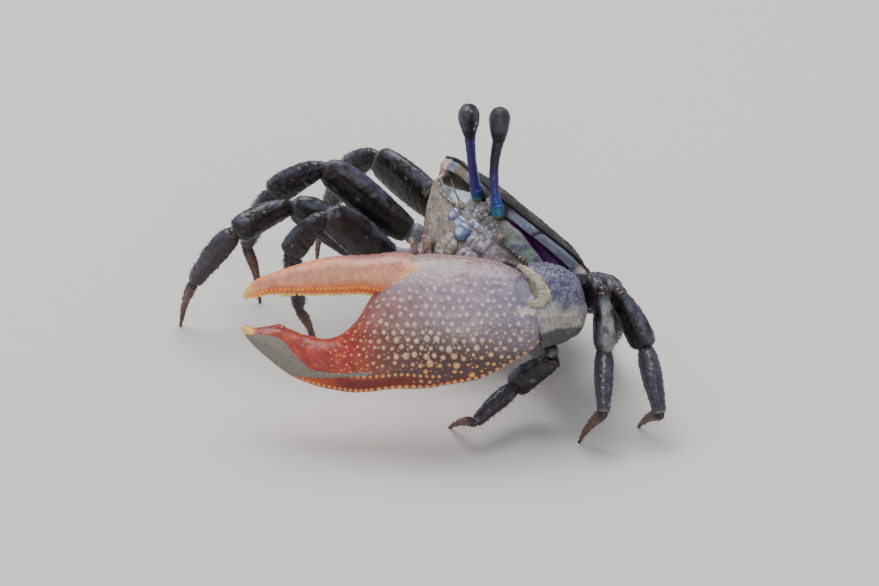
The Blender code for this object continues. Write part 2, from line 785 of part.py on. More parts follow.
def make_wrist():
    knots_top = ((-7.0, 0.9), (-6.2, 3.6), (-4.2, 6.1), (-1.5, 7.2), (2.2, 7.2))
    knots_low = ((-7.0, -0.9), (-6.4, -2.8), (-4.4, -4.6), (-1.5, -5.6), (2.2, -6.2))
    rings = []
    normal = -WRIST_JOINT
    end = on_claw(0.15, 0, 0) + normal * GAP
    stations = np.linspace(-7.0, 2.2, 13)
    for i, x in enumerate(stations):
        high, low = along_profile(knots_top, x), along_profile(knots_low, x)
        mid, half = (high + low) / 2, (high - low) / 2
        thick = 4.4 * (half / 6.6) ** 0.6
        ring = []
        for k in range(20):
            angle = 2 * math.pi * (k + 0.5) / 20
            q = on_claw(x, mid + half * math.cos(angle), -1.0 + thick * math.sin(angle))
            inside = np.dot(q - end, normal)
            need = 0.06 * (len(stations) - 1 - i)
            if inside < need:
                q = q - ALONG * (need - inside) / np.dot(-ALONG, normal)
            ring.append(q)
        rings.append(ring)
    bm = skin(rings)
    point, axis = arm_end()
    trim(bm, point + axis * GAP, -axis)
    return add_object("big_claw_wrist", bm, "wrist", PARTS)


def arm_root():
    return on_body(0.195, 0.215, -0.235)


def arm_end():
    root = arm_root()
    aim = on_claw(-2.4, -0.4, -3.0)
    axis = unit(aim - root)
    return aim - axis * 1.2, axis


def arm_tube(swell=0.0):
    root = arm_root()
    tip, axis = arm_end()
    share = np.linspace(0, 1, 10)
    path = [root + (tip - root) * s for s in share]
    girth = np.interp(share, [0, 0.15, 0.5, 0.85, 1], [1.5, 1.8, 2.8, 3.4, 3.0])
    start = (root - axis * swell, axis)
    end = (tip, -axis)
    return tube(path, girth * 1.1 + swell, girth * 0.9 + swell, UP, start, end, count=14)


def make_big_claw(holders):
    add_object("big_claw_arm", arm_tube(), "leg", PARTS)
    make_wrist()
    make_palm()
    make_fixed_finger()
    make_moving_finger()
    hole = add_object("socket_big_claw", arm_tube(GAP), None, CUTTERS)
    for holder in holders:
        carve(holder, hole)


# Small claw

def small_claw_points():
    root = on_body(-0.21, 0.20, -0.29)
    places = ((-8.9, -19.35, -2.8), (-0.7, -21.95, -4.4), (-3.7, -22.35, 0.5), (-5.3, -22.15, 5.1))
    return [root] + [CENTRE + place for place in places]


# Half heights and half widths along each piece of the small claw, millimetres
SMALL_SIZES = (
    ((0.9, 1.0, 1.3, 1.5, 1.6, 1.5, 1.3), (0.8, 0.9, 1.1, 1.2, 1.3, 1.2, 1.1)),
    ((1.0, 1.3, 1.5, 1.6, 1.5, 1.3, 1.1), (0.9, 1.2, 1.4, 1.4, 1.4, 1.2, 1.0)),
    ((0.9, 1.1, 1.3, 1.3, 1.2, 1.1, 0.9), (1.1, 1.6, 1.9, 2.0, 2.0, 1.9, 1.7)),
)
SMALL_FINGER = ((0.7, 0.8, 0.7, 0.6, 0.3), (0.7, 0.7, 0.6, 0.5, 0.3))


def small_piece(points, index, swell=0.0):
    high, wide = SMALL_SIZES[index]
    a, b = points[index], points[index + 1]
    ahead = unit(b - a)
    share = np.linspace(0, 1, 7)
    path = [a + (b - a) * s for s in share]
    start = (a - ahead * swell, ahead)
    if index > 0:
        normal = unit(unit(a - points[index - 1]) + ahead)
        start = (a + normal * GAP / 2, normal)
    end = None
    if index + 2 < len(points):
        normal = -unit(unit(points[index + 2] - b) + ahead)
        end = (b + normal * GAP / 2, normal)
    upright = FACE if abs(np.dot(FACE, ahead)) < 0.8 else UP
    return tube(path, np.array(high) + swell, np.array(wide) + swell, upright, start, end, count=10)


def small_finger(base, aim, length):
    path = [base + aim * length * s for s in (0, 0.2, 0.5, 0.8, 1.0)]
    return tube(path, *SMALL_FINGER, FACE, count=10)


def make_small_claw(holders):
    points = small_claw_points()
    add_object("small_claw_arm", small_piece(points, 0), "small_claw", PARTS)
    add_object("small_claw_wrist", small_piece(points, 1), "small_claw", PARTS)
    palm = add_object("small_claw_palm", small_piece(points, 2), "small_claw", PARTS)
    aim = unit(points[4] - points[3])
    side = unit(np.cross(aim, FACE))
    fixed = small_finger(points[3] - aim * 0.4 + side, aim, 5.2)
    fuse(palm, [add_object("small_fixed_finger", fixed, None, CUTTERS)])
    moving = small_finger(points[3] + aim * 0.45 - side, aim, 4.4)
    add_object("small_claw_finger", moving, "small_claw", PARTS)
    hole = add_object("socket_small_claw", small_piece(points, 0, GAP), None, CUTTERS)
    for holder in holders:
        carve(holder, hole)


SHELL = make_carapace()
TRUNK = make_trunk()
for eye_side in ("left", "right"):
    orbit = orbit_cutter(eye_side)
    carve(SHELL, orbit)
    carve(TRUNK, orbit)
    pocket = add_object("stalk_pocket_" + eye_side, stalk_tube(eye_side, GAP), None, CUTTERS)
    carve(SHELL, pocket)
    carve(TRUNK, pocket)
    make_eye(eye_side)
make_mouth([SHELL, TRUNK])
inset("abdomen", "underside", abdomen_tube, [SHELL, TRUNK])
for leg_side in ("left", "right"):
    for leg_number in (2, 3, 4, 5):
        make_leg(leg_side, leg_number, [SHELL, TRUNK])
make_big_claw([TRUNK])
make_small_claw([TRUNK])
for holder in (SHELL, TRUNK):
    replace_mesh(holder)
    largest_shell(holder)
for cutter in list(CUTTERS.objects):
    bpy.data.objects.remove(cutter)
bpy.data.collections.remove(CUTTERS)
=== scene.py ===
import math

import bpy
import numpy as np
from mathutils import Matrix, Vector


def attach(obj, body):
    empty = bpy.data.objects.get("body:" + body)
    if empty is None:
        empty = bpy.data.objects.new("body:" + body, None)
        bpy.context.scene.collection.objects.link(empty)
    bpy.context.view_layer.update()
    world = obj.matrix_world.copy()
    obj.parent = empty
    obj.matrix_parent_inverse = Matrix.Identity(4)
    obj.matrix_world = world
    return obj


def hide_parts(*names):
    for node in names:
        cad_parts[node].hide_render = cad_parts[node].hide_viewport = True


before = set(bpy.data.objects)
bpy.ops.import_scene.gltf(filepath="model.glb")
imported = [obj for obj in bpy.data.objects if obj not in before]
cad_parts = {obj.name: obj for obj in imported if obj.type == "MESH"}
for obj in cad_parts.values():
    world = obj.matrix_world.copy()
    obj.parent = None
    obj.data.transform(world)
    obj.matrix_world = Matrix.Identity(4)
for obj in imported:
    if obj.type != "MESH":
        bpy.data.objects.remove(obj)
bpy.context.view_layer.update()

# Overall size and place. Sizes are millimetres, and places on the body are shares of its width CW
MM = 0.001
CW = 34.0
SIDES = {"left": 1, "right": -1}
BODY_PLACE = (4.25, 21.04, 21.3)
FRONT_RAISED = 40.0
LEFT_SIDE_LOWERED = 19.0

# The photograph's view
VIEW_AZIMUTH = 34.0
VIEW_ELEVATION = 28.0
VIEW_DISTANCE = 2500.0
IMAGE_SIZE = (879, 586)
PIXELS_PER_MM = 6.32
TRUNK_PIXEL = (523.36, 219.77)
SENSOR = 36.0


def rgb(red, green, blue):
    """Linear colour of an sRGB colour given from 0 to 255."""
    c = np.array([red, green, blue]) / 255.0
    return np.where(c <= 0.04045, c / 12.92, ((c + 0.055) / 1.055) ** 2.4)


# Colours of the living crab, and of painted light and shade on it
SHELL_DARK = rgb(38, 35, 33)
SHELL_PALE = rgb(80, 76, 68)
MARGIN_DARK = rgb(26, 26, 32)
ORBIT_BLUE = rgb(88, 92, 108)
ORBIT_PURPLE = rgb(82, 24, 98)
PLATE_PALE_AND_LIT = rgb(124, 128, 148)
ORBIT_GREEN = rgb(112, 122, 116)
CORNER_PINK = rgb(206, 178, 172)
RIM_DARK = rgb(40, 38, 40)
BEAD_CREAM = rgb(176, 164, 142)
CHEEK_TAN = rgb(146, 132, 116)
FACE_GREY = rgb(128, 122, 122)
UNDER_PALE = rgb(150, 142, 132)
FACE_BLUE = rgb(88, 110, 150)
FACE_WHITE = rgb(196, 206, 224)
MOUTH_MAUVE = rgb(136, 124, 138)
MOUTH_PALE = rgb(176, 168, 168)
STALK_GREEN = rgb(92, 112, 58)
STALK_TEAL = rgb(24, 92, 118)
STALK_BLUE = rgb(30, 52, 132)
STALK_INDIGO = rgb(50, 36, 104)
STALK_DARK = rgb(30, 24, 38)
EYE_DARK = rgb(52, 48, 56)
EYE_BROWN = rgb(68, 62, 70)
EYE_TEAL = rgb(76, 84, 94)
LEG_BLACK = rgb(17, 14, 16)
# Blue-grey painted as sheen on the dark legs
LEG_SHEEN_BLUE = rgb(84, 86, 104)
LEG_PURPLE = rgb(48, 40, 52)
LEG_BROWN = rgb(46, 34, 30)
SHIN_MAUVE = rgb(62, 55, 66)
SHIN_RED = rgb(40, 22, 22)
TOP_GREY = rgb(136, 138, 132)
TOE_RED = rgb(92, 58, 48)
HIP_PALE = rgb(138, 138, 146)
JOINT_BROWN = rgb(54, 34, 26)
MUD_GREY = rgb(140, 134, 124)
MUD_DARK = rgb(78, 70, 62)
PALM_MAUVE = rgb(156, 138, 148)
PALM_PINK = rgb(172, 150, 150)
PALM_BROWN = rgb(66, 32, 28)
PALM_GREY = rgb(134, 126, 140)
PALM_RED = rgb(150, 84, 66)
JOINT_GREY = rgb(124, 118, 134)
EDGE_BROWN = rgb(150, 112, 106)
GRAIN_CREAM = rgb(218, 186, 150)
GRAIN_PALE = rgb(196, 180, 186)
GRAIN_ORANGE = rgb(232, 160, 86)
BAND_RED = rgb(108, 16, 0)
FINGER_RED = rgb(148, 42, 32)
FINGER_ORANGE = rgb(230, 136, 72)
FINGER_MAUVE = rgb(202, 134, 110)
FINGER_PEACH = rgb(226, 148, 110)
FINGER_ROSE = rgb(132, 66, 58)
FINGER_EDGE = rgb(212, 92, 16)
BEAD_ORANGE = rgb(246, 152, 48)
TOOTH_YELLOW = rgb(246, 196, 96)
TIP_YELLOW = rgb(244, 184, 96)
HINGE_CREAM = rgb(226, 180, 152)
HINGE_ORANGE = rgb(240, 160, 88)
WRIST_BLUE = rgb(70, 70, 98)
WRIST_PALE = rgb(150, 146, 140)
WRIST_OLIVE_AND_SHADE = rgb(56, 64, 58)
SKIN_CREAM = rgb(164, 154, 128)


# Numbers and directions

def unit(v):
    v = np.asarray(v, float)
    return v / np.linalg.norm(v, axis=-1, keepdims=True)


def profile(pairs, t):
    """Smooth values at t of a profile given as (position, value) pairs."""
    x, y = np.array(pairs, float).T
    t = np.asarray(t, float)
    i = np.clip(np.searchsorted(x, t) - 1, 0, len(x) - 2)
    h = x[i + 1] - x[i]
    s = np.clip((t - x[i]) / h, 0.0, 1.0)
    slope = np.gradient(y, x)
    start = (1 + 2 * s) * (1 - s) ** 2 * y[i] + s * (1 - s) ** 2 * h * slope[i]
    return start + s ** 2 * (3 - 2 * s) * y[i + 1] + s ** 2 * (s - 1) * h * slope[i + 1]


def ease(low, high, t):
    """0 below low, 1 above high and smooth between, or the other way round."""
    s = np.clip((np.asarray(t, float) - low) / (high - low), 0.0, 1.0)
    return s * s * (3 - 2 * s)


def window(t, low, full, fall, end):
    """1 from full to fall, and smoothly down to 0 at low and at end."""
    return ease(low, full, t) * ease(end, fall, t)


def bump(middle, width, t):
    return np.exp(-((np.asarray(t, float) - middle) / width) ** 2)


def spread(knots, count):
    """Evenly spaced points on a smooth curve through the knots."""
    knots = np.asarray(knots, float)
    ends = np.concatenate([[2 * knots[0] - knots[1]], knots, [2 * knots[-1] - knots[-2]]])
    s = np.linspace(0, len(knots) - 1, count)
    i = np.minimum(s.astype(int), len(knots) - 2)
    t = (s - i).reshape((-1,) + (1,) * (knots.ndim - 1))
    a, b, c, d = ends[i], ends[i + 1], ends[i + 2], ends[i + 3]
    cubic = 2 * b + (c - a) * t + (2 * a - 5 * b + 4 * c - d) * t ** 2
    return 0.5 * (cubic + (3 * b - a - 3 * c + d) * t ** 3)


def lumps(points, size, seed, waves=20):
    """Smooth irregular values of about -1 to 1, with lumps of the given size."""
    rng = np.random.default_rng(seed)
    ways = unit(rng.normal(size=(waves, 3))) * 2 * math.pi / size
    ways *= rng.uniform(0.6, 1.5, (waves, 1))
    turns = rng.uniform(0, 2 * math.pi, waves)
    return np.sin(points @ ways.T + turns).sum(-1) / math.sqrt(waves) * 0.9


def patches(points, size, seed, low, high):
    """Soft irregular patches: 0 where the lumps are below low, 1 where they are above high."""
    return ease(low, high, lumps(points, size, seed))


def ring_angles(around):
    return 2 * math.pi * np.arange(around) / around


def shares(count):
    """Shares of the way along a tube, from 0 to 1, as a column."""
    return np.linspace(0, 1, count)[:, None]


def mix(base, colour, amount):
    amount = np.asarray(amount, float)[..., None]
    return base * (1 - amount) + colour * amount


def painted(base, coats):
    """Colours of a base under coats, each a pair of a colour and its amount."""
    for colour, amount in coats:
        base = mix(base, colour, amount)
    return base


def posture():
    """Left, forward and upward axes of the raised trunk."""
    pitch, roll = math.radians(FRONT_RAISED), math.radians(LEFT_SIDE_LOWERED)
    forward = np.array([0.0, -math.cos(pitch), math.sin(pitch)])
    lifted = np.array([0.0, math.sin(pitch), math.cos(pitch)])
    left = np.array([math.cos(roll), 0.0, 0.0]) - lifted * math.sin(roll)
    up = lifted * math.cos(roll) + np.array([math.sin(roll), 0.0, 0.0])
    return left, forward, up


def view_axes():
    """Right, up and towards the viewer in the photograph."""
    a, e = math.radians(VIEW_AZIMUTH), math.radians(VIEW_ELEVATION)
    right = np.array([math.cos(a), math.sin(a), 0.0])
    up = np.array([-math.sin(a) * math.sin(e), math.cos(a) * math.sin(e), math.cos(e)])
    toward = np.array([math.sin(a) * math.cos(e), -math.cos(a) * math.cos(e), math.sin(e)])
    return right, up, toward


LEFT, FORWARD, UP = posture()
CENTRE = np.array(BODY_PLACE)
RIGHTWARD, UPWARD, TOWARD = view_axes()
ALONG, ACROSS, FACE = -RIGHTWARD, UPWARD, TOWARD
WRIST = CENTRE + (19.67, -24.35, 0.5)


def on_body(left, forward, up):
    left, forward, up = np.broadcast_arrays(left, forward, up)
    return CENTRE + CW * (left[..., None] * LEFT + forward[..., None] * FORWARD + up[..., None] * UP)


def on_claw(along, up, face):
    along, up, face = np.broadcast_arrays(along, up, face)
    return WRIST + along[..., None] * ALONG + up[..., None] * ACROSS + face[..., None] * FACE


# Meshes from grids: rows of closed rings

def facing(grid):
    """Outward directions at the points of a grid."""
    rows = np.gradient(grid, axis=0)
    around = np.roll(grid, -1, 1) - np.roll(grid, 1, 1)
    out = np.cross(rows, around)
    out = out / np.maximum(np.linalg.norm(out, axis=-1, keepdims=True), 1e-9)
    middle = grid.mean(1, keepdims=True)
    return out if (out * (grid - middle)).sum() > 0 else -out


def raised(grid, height):
    """Grid with each point moved outwards by its height."""
    return grid + facing(grid) * height[..., None]


def ring_tube(path, heights, widths, upright, around, power=1.0):
    """Grid of rings round a path. Their half heights and half widths are columns."""
    path = np.asarray(path, float)
    ahead = unit(np.gradient(path, axis=0))
    upright = np.broadcast_to(np.asarray(upright, float), path.shape)
    high = unit(upright - ahead * (ahead * upright).sum(-1, keepdims=True))
    wide = np.cross(ahead, high)
    c, s = np.cos(ring_angles(around)), np.sin(ring_angles(around))
    c = np.sign(c) * np.abs(c) ** power
    s = np.sign(s) * np.abs(s) ** power
    grid = path[:, None] + high[:, None] * (heights * c)[..., None]
    return grid + wide[:, None] * (widths * s)[..., None]


def rounded(share, start=0.04, end=0.04):
    """Factor that rounds off the two ends of a tube."""
    a = np.clip(share / start, 0, 1)
    b = np.clip((1 - share) / end, 0, 1)
    return np.maximum(np.sqrt(1 - (1 - a) ** 2) * np.sqrt(1 - (1 - b) ** 2), 0.03)


def domes(points, places, radii, rise, power=0.62):
    """Height and cover (0 to 1) that round grains add at each point; they rise by rise radii."""
    height = np.zeros(points.shape[:-1])
    cover = np.zeros(points.shape[:-1])
    flat = points.reshape(-1, 3)
    tall, over = height.reshape(-1), cover.reshape(-1)
    for place, radius in zip(places, radii):
        near = np.flatnonzero((np.abs(flat - place) < radius).all(1))
        room = 1 - ((flat[near] - place) ** 2).sum(1) / radius ** 2
        near, room = near[room > 0], room[room > 0]
        tall[near] = np.maximum(tall[near], rise * radius * room ** power)
        over[near] = np.maximum(over[near], room)
    return height, cover


def grid_faces(rows, around, first):
    i, j = np.meshgrid(np.arange(rows - 1), np.arange(around), indexing="ij")
    a = first + i * around + j
    b = first + i * around + (j + 1) % around
    return np.stack([a, b, b + around, a + around], -1).reshape(-1, 4)


def cap_faces(ring, hub, flip):
    other = np.roll(ring, -1)
    rows = (other, ring) if flip else (ring, other)
    return np.stack([*rows, np.full(len(ring), hub)], -1)


def with_hubs(values):
    """Values of a grid as one list, with the means of its first and last ring at the end."""
    return np.concatenate([values.reshape(-1, *values.shape[2:]), values[[0, -1]].mean(1)])


def mesh_of(name, parts):
    """Mesh of closed grids, each (points, paint, mud), with its colours as attributes."""
    lists = points, quads, tris, paints, muds = [], [], [], [], []
    first = 0
    for grid, paint, mud in parts:
        rows, around = grid.shape[:2]
        flat = with_hubs(grid)
        faces = grid_faces(rows, around, first)
        a, b, c, d = (flat[faces[:, k] - first] for k in range(4))
        volume = (a * np.cross(b, c)).sum() + (a * np.cross(c, d)).sum()
        ring, hub = first + np.arange(around), first + rows * around
        last = ring + (rows - 1) * around
        caps = np.concatenate([cap_faces(ring, hub, True), cap_faces(last, hub + 1, False)])
        a, b, c = (flat[caps[:, k] - first] for k in range(3))
        volume += (a * np.cross(b, c)).sum()
        if volume < 0:
            faces, caps = faces[:, ::-1], caps[:, ::-1]
        points.append(flat)
        quads.append(faces)
        tris.append(caps)
        paints.append(with_hubs(np.broadcast_to(paint, grid.shape)))
        muds.append(with_hubs(np.broadcast_to(mud, grid.shape[:2])))
        first += len(flat)
    return raw_mesh(name, *(np.concatenate(values) for values in lists))


def raw_mesh(name, points, quads, tris, paint, mud):
    mesh = bpy.data.meshes.new(name)
    mesh.vertices.add(len(points))
    mesh.vertices.foreach_set("co", (points * MM).ravel())
    corners = np.concatenate([quads.ravel(), tris.ravel()]).astype(np.int32)
    starts = np.concatenate([4 * np.arange(len(quads)), 4 * len(quads) + 3 * np.arange(len(tris))])
    mesh.loops.add(len(corners))
    mesh.loops.foreach_set("vertex_index", corners)
    mesh.polygons.add(len(starts))
    mesh.polygons.foreach_set("loop_start", starts.astype(np.int32))
    mesh.update(calc_edges=True)
    mesh.validate()
    mesh.shade_smooth()
    colour = mesh.attributes.new("paint", "FLOAT_COLOR", "POINT")
    whole = np.concatenate([np.clip(paint, 0, 1), np.ones((len(paint), 1))], 1)
    colour.data.foreach_set("color", whole.ravel().astype(np.float32))
    mesh.attributes.new("mud", "FLOAT", "POINT").data.foreach_set("value", mud.astype(np.float32))
    return mesh


def placed(name, data):
    obj = bpy.data.objects.new(name, data)
    bpy.context.scene.collection.objects.link(obj)
    return obj


def add_piece(name, mesh, finish, nodes=()):
    obj = placed(name, mesh)
    mesh.materials.append(finish)
    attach(obj, "root")
    if nodes:
        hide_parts(*nodes)


def dress(name, parts, slot, *nodes):
    """Piece of closed grids in the finish of its slot, in place of the nodes."""
    add_piece(name, mesh_of(name, parts), FINISHES[slot], nodes)


# Materials

def new_material(name):
    made = bpy.data.materials.new(name)
    made.use_nodes = True
    return made, made.node_tree, made.node_tree.nodes["Principled BSDF"]


def set_inputs(node, **values):
    for key, value in values.items():
        node.inputs[key.replace("_", " ")].default_value = value


def look(name, rough, uneven, mottle, patch, grain, relief, coat, sheen, gloss):
    """Shell material: painted colour, mottling, fine grains, uneven gloss and a film of mud."""
    made, tree, shader = new_material(name)
    link = tree.links.new

    def add(kind, **inputs):
        node = tree.nodes.new(kind)
        set_inputs(node, **inputs)
        return node

    def noise(size, detail, roughness=0.55):
        node = add("ShaderNodeTexNoise", Scale=1000.0 / size, Detail=detail, Roughness=roughness)
        link(place.outputs["Object"], node.inputs["Vector"])
        return node.outputs["Fac"]

    def spans(value, low, high, to_low, to_high):
        node = add("ShaderNodeMapRange", From_Min=low, From_Max=high, To_Min=to_low, To_Max=to_high)
        link(value, node.inputs["Value"])
        return node.outputs["Result"]

    def maths(operation, a, b):
        node = add("ShaderNodeMath")
        node.operation = operation
        for socket, value in zip(node.inputs, (a, b)):
            if isinstance(value, float):
                socket.default_value = value
            else:
                link(value, socket)
        return node.outputs["Value"]

    def blended(factor, a, b):
        node = add("ShaderNodeMix")
        node.data_type = "RGBA"
        link(factor, node.inputs["Factor"])
        for socket, value in ((node.inputs[6], a), (node.inputs[7], b)):
            if isinstance(value, np.ndarray):
                socket.default_value = (*value, 1.0)
            else:
                link(value, socket)
        return node.outputs[2]

    place = add("ShaderNodeTexCoord")
    paint, mud = add("ShaderNodeAttribute"), add("ShaderNodeAttribute")
    paint.attribute_name, mud.attribute_name = "paint", "mud"

    broad = spans(noise(patch, 4.0), 0.3, 0.7, 1.0 - mottle, 1.0 + mottle)
    fine = spans(noise(grain * 2.2, 3.0), 0.3, 0.7, 1.0 - 0.6 * mottle, 1.0 + 0.6 * mottle)
    scaled = add("ShaderNodeVectorMath")
    scaled.operation = "SCALE"
    link(paint.outputs["Color"], scaled.inputs[0])
    link(maths("MULTIPLY", broad, fine), scaled.inputs["Scale"])

    film = maths("ADD", mud.outputs["Fac"], spans(noise(1.1, 5.0, 0.7), 0.35, 0.65, -0.28, 0.28))
    film = spans(film, 0.35, 0.62, 0.0, 1.0)
    dirt = blended(noise(0.5, 4.0, 0.8), MUD_DARK, MUD_GREY * 1.25)
    link(blended(film, scaled.outputs["Vector"], dirt), shader.inputs["Base Color"])

    gloss_map = spans(noise(patch * 0.6, 3.0), 0.3, 0.7, rough - uneven, rough + uneven)
    dull = maths("MULTIPLY", film, 0.42)
    link(maths("ADD", gloss_map, dull), shader.inputs["Roughness"])

    cells = add("ShaderNodeTexVoronoi", Scale=1000.0 / grain)
    link(place.outputs["Object"], cells.inputs["Vector"])
    pebbles = spans(cells.outputs["Distance"], 0.0, 0.75, 1.0, 0.0)
    height = maths("ADD", maths("MULTIPLY", pebbles, 0.6), maths("MULTIPLY", noise(grain * 0.8, 3.0), 0.8))
    crust = maths("MULTIPLY", film, noise(0.28, 4.0, 0.75))
    height = maths("ADD", height, maths("MULTIPLY", crust, 2.0))
    relief_node = add("ShaderNodeBump", Strength=1.0, Distance=relief * MM)
    link(height, relief_node.inputs["Height"])
    link(relief_node.outputs["Normal"], shader.inputs["Normal"])
    set_inputs(shader, Coat_Weight=coat, Coat_Roughness=0.18, Sheen_Weight=sheen, Sheen_Roughness=0.4,
               Sheen_Tint=(0.55, 0.62, 0.95, 1.0), Specular_IOR_Level=gloss)
    return made


# Carapace

SHELL_BOTTOM = -0.065
SHELL_EDGE = -0.042
SHELL_RIM = 0.038
SHELL_DOME = 0.060
SHELL_FALL = 0.080
FLANK_FALL = 0.055
SHELL_HALF = 0.4985
TRUNK_HALF = 0.468
ORBIT_DEPTH = 0.050
RIM_LEVEL = -0.132
SHELL_GRAINS = 900
CORNER_RINGS = 620

# At each side place: forward place of the shell's front and rear edge and of the face, level of the keel
FRONT_EDGE = ((0, 0.325), (0.05, 0.315), (0.12, 0.272), (0.22, 0.222), (0.34, 0.155),
              (0.44, 0.098), (0.50, 0.066))
REAR_EDGE = ((0, -0.370), (0.14, -0.368), (0.24, -0.345), (0.33, -0.285), (0.40, -0.195),
             (0.45, -0.100), (0.48, -0.020), (0.50, 0.045))
FACE_EDGE = ((0, 0.312), (0.06, 0.310), (0.12, 0.296), (0.18, 0.262), (0.26, 0.208),
             (0.36, 0.140), (0.44, 0.090), (0.50, 0.060))
KEEL = ((0, -0.410), (0.12, -0.410), (0.20, -0.402), (0.28, -0.375), (0.36, -0.325),
        (0.42, -0.260), (0.455, -0.200), (0.47, -0.180))


def mirrored(pairs, x):
    """A profile that is the same on both sides of the middle line."""
    return profile(pairs, np.abs(x))


def orbit_depth(x):
    x = np.abs(x)
    return ORBIT_DEPTH * window(x, 0.085, 0.130, 0.425, 0.462)


def hollow_levels(x):
    """Upper and lower edge of the dark hollow of an eye socket."""
    x = np.abs(x)
    middle = -0.030 - 0.035 * ease(0.12, 0.44, x)
    half = 0.006 + 0.024 * ease(0.13, 0.36, x) - 0.014 * ease(0.40, 0.46, x)
    return middle + half, middle - half


def groove(x, f):
    """Depth of the furrows between the regions of the shell."""
    x = np.abs(x)
    bend = 0.15 + 0.25 * (f + 0.05) ** 2
    beside = bump(bend, 0.018, x) * window(f, -0.28, -0.20, 0.10, 0.18)
    across = bump(-0.07, 0.016, f) * ease(0.17, 0.13, x)
    gill = bump(0.02 - 0.35 * (x - 0.16), 0.016, f) * window(x, 0.14, 0.18, 0.30, 0.38)
    middle = bump(0.0, 0.010, x) * window(f, 0.10, 0.20, 0.27, 0.31)
    return 0.012 * np.maximum.reduce([beside, across, 0.8 * gill, 0.7 * middle])


def ridge(x, f):
    """Height of the raised line that runs back from each front corner."""
    line = 0.470 - 0.16 * (0.05 - f) - 0.25 * np.clip(0.05 - f, 0, 1) ** 2
    return 0.008 * bump(line, 0.008, np.abs(x)) * window(f, -0.26, -0.12, 0.04, 0.075)


def shell_top(x, f):
    a, b = mirrored(REAR_EDGE, x), mirrored(FRONT_EDGE, x)
    u = np.clip((2 * f - a - b) / np.maximum(b - a, 1e-6), -1, 1)
    rise = SHELL_DOME * (1 - (np.abs(x) / 0.505) ** 2.2) ** 0.75 * (1 - np.abs(u) ** 2.3) ** 0.62
    back = np.maximum(b - f, 0)
    fall = SHELL_FALL * (back / 0.695) ** 0.65
    droop = 0.030 * np.clip((np.abs(x) - 0.36) / 0.14, 0, 1) ** 2
    flank = FLANK_FALL * np.clip((np.abs(x) - 0.24) / 0.14, 0, 1) * np.clip(back / 0.20, 0, 1)
    top = np.maximum(SHELL_RIM + rise - fall - droop - flank, SHELL_EDGE)
    return top - groove(x, f) + ridge(x, f)


def carapace_section():
    """Side, forward and upward place of every point, and its step along its section.

    The steps run from -9 to 0 over the top, to 8 down the front wall and to 12 underneath.
    """
    x = SHELL_HALF * np.sin(np.linspace(-math.pi / 2, math.pi / 2, 240))[:, None]
    a, b, d = mirrored(REAR_EDGE, x), mirrored(FRONT_EDGE, x), orbit_depth(x)
    share = 0.5 - 0.5 * np.cos(np.linspace(0, math.pi, 120))[None]
    f = a + (b - a) * share
    top = np.stack([f, shell_top(x, f)], -1)
    z = shell_top(x, b)
    upper, lower = hollow_levels(x)
    upper = np.minimum(upper, z - 0.035)
    plate = 0.5 * (z - 0.020 + upper)
    back = b - 0.045 - 1.1 * d
    knots = [(b, z), (b + 0.005, z - 0.007), (b - 0.004, z - 0.014), (b - 0.001, z - 0.022),
             (b + 0.003, plate), (b - 0.004, upper + 0.004), (b - 0.012 - 0.5 * d, upper - 0.001),
             (b - 0.020 - d, upper - 0.006), (back, np.minimum(lower - 0.006, SHELL_BOTTOM))]
    front = np.moveaxis(spread([np.concatenate(k, 1) for k in knots], 73), 0, 1)
    behind = np.linspace(0.98, 0.02, 30)[None]
    end = a + 0.004
    level = front[:, -1:, 1] + (SHELL_BOTTOM - front[:, -1:, 1]) * ease(0.98, 0.6, behind)
    under = np.stack([end + (back - 0.01 - end) * behind, level], -1)
    section = np.concatenate([top, front[:, 1:], under], 1)
    steps = np.concatenate([np.linspace(-9, 0, 120), np.linspace(0, 8, 73)[1:], np.linspace(8.1, 12, 30)])
    return np.broadcast_to(x, section.shape[:2]), section[..., 0], section[..., 1], steps[None]


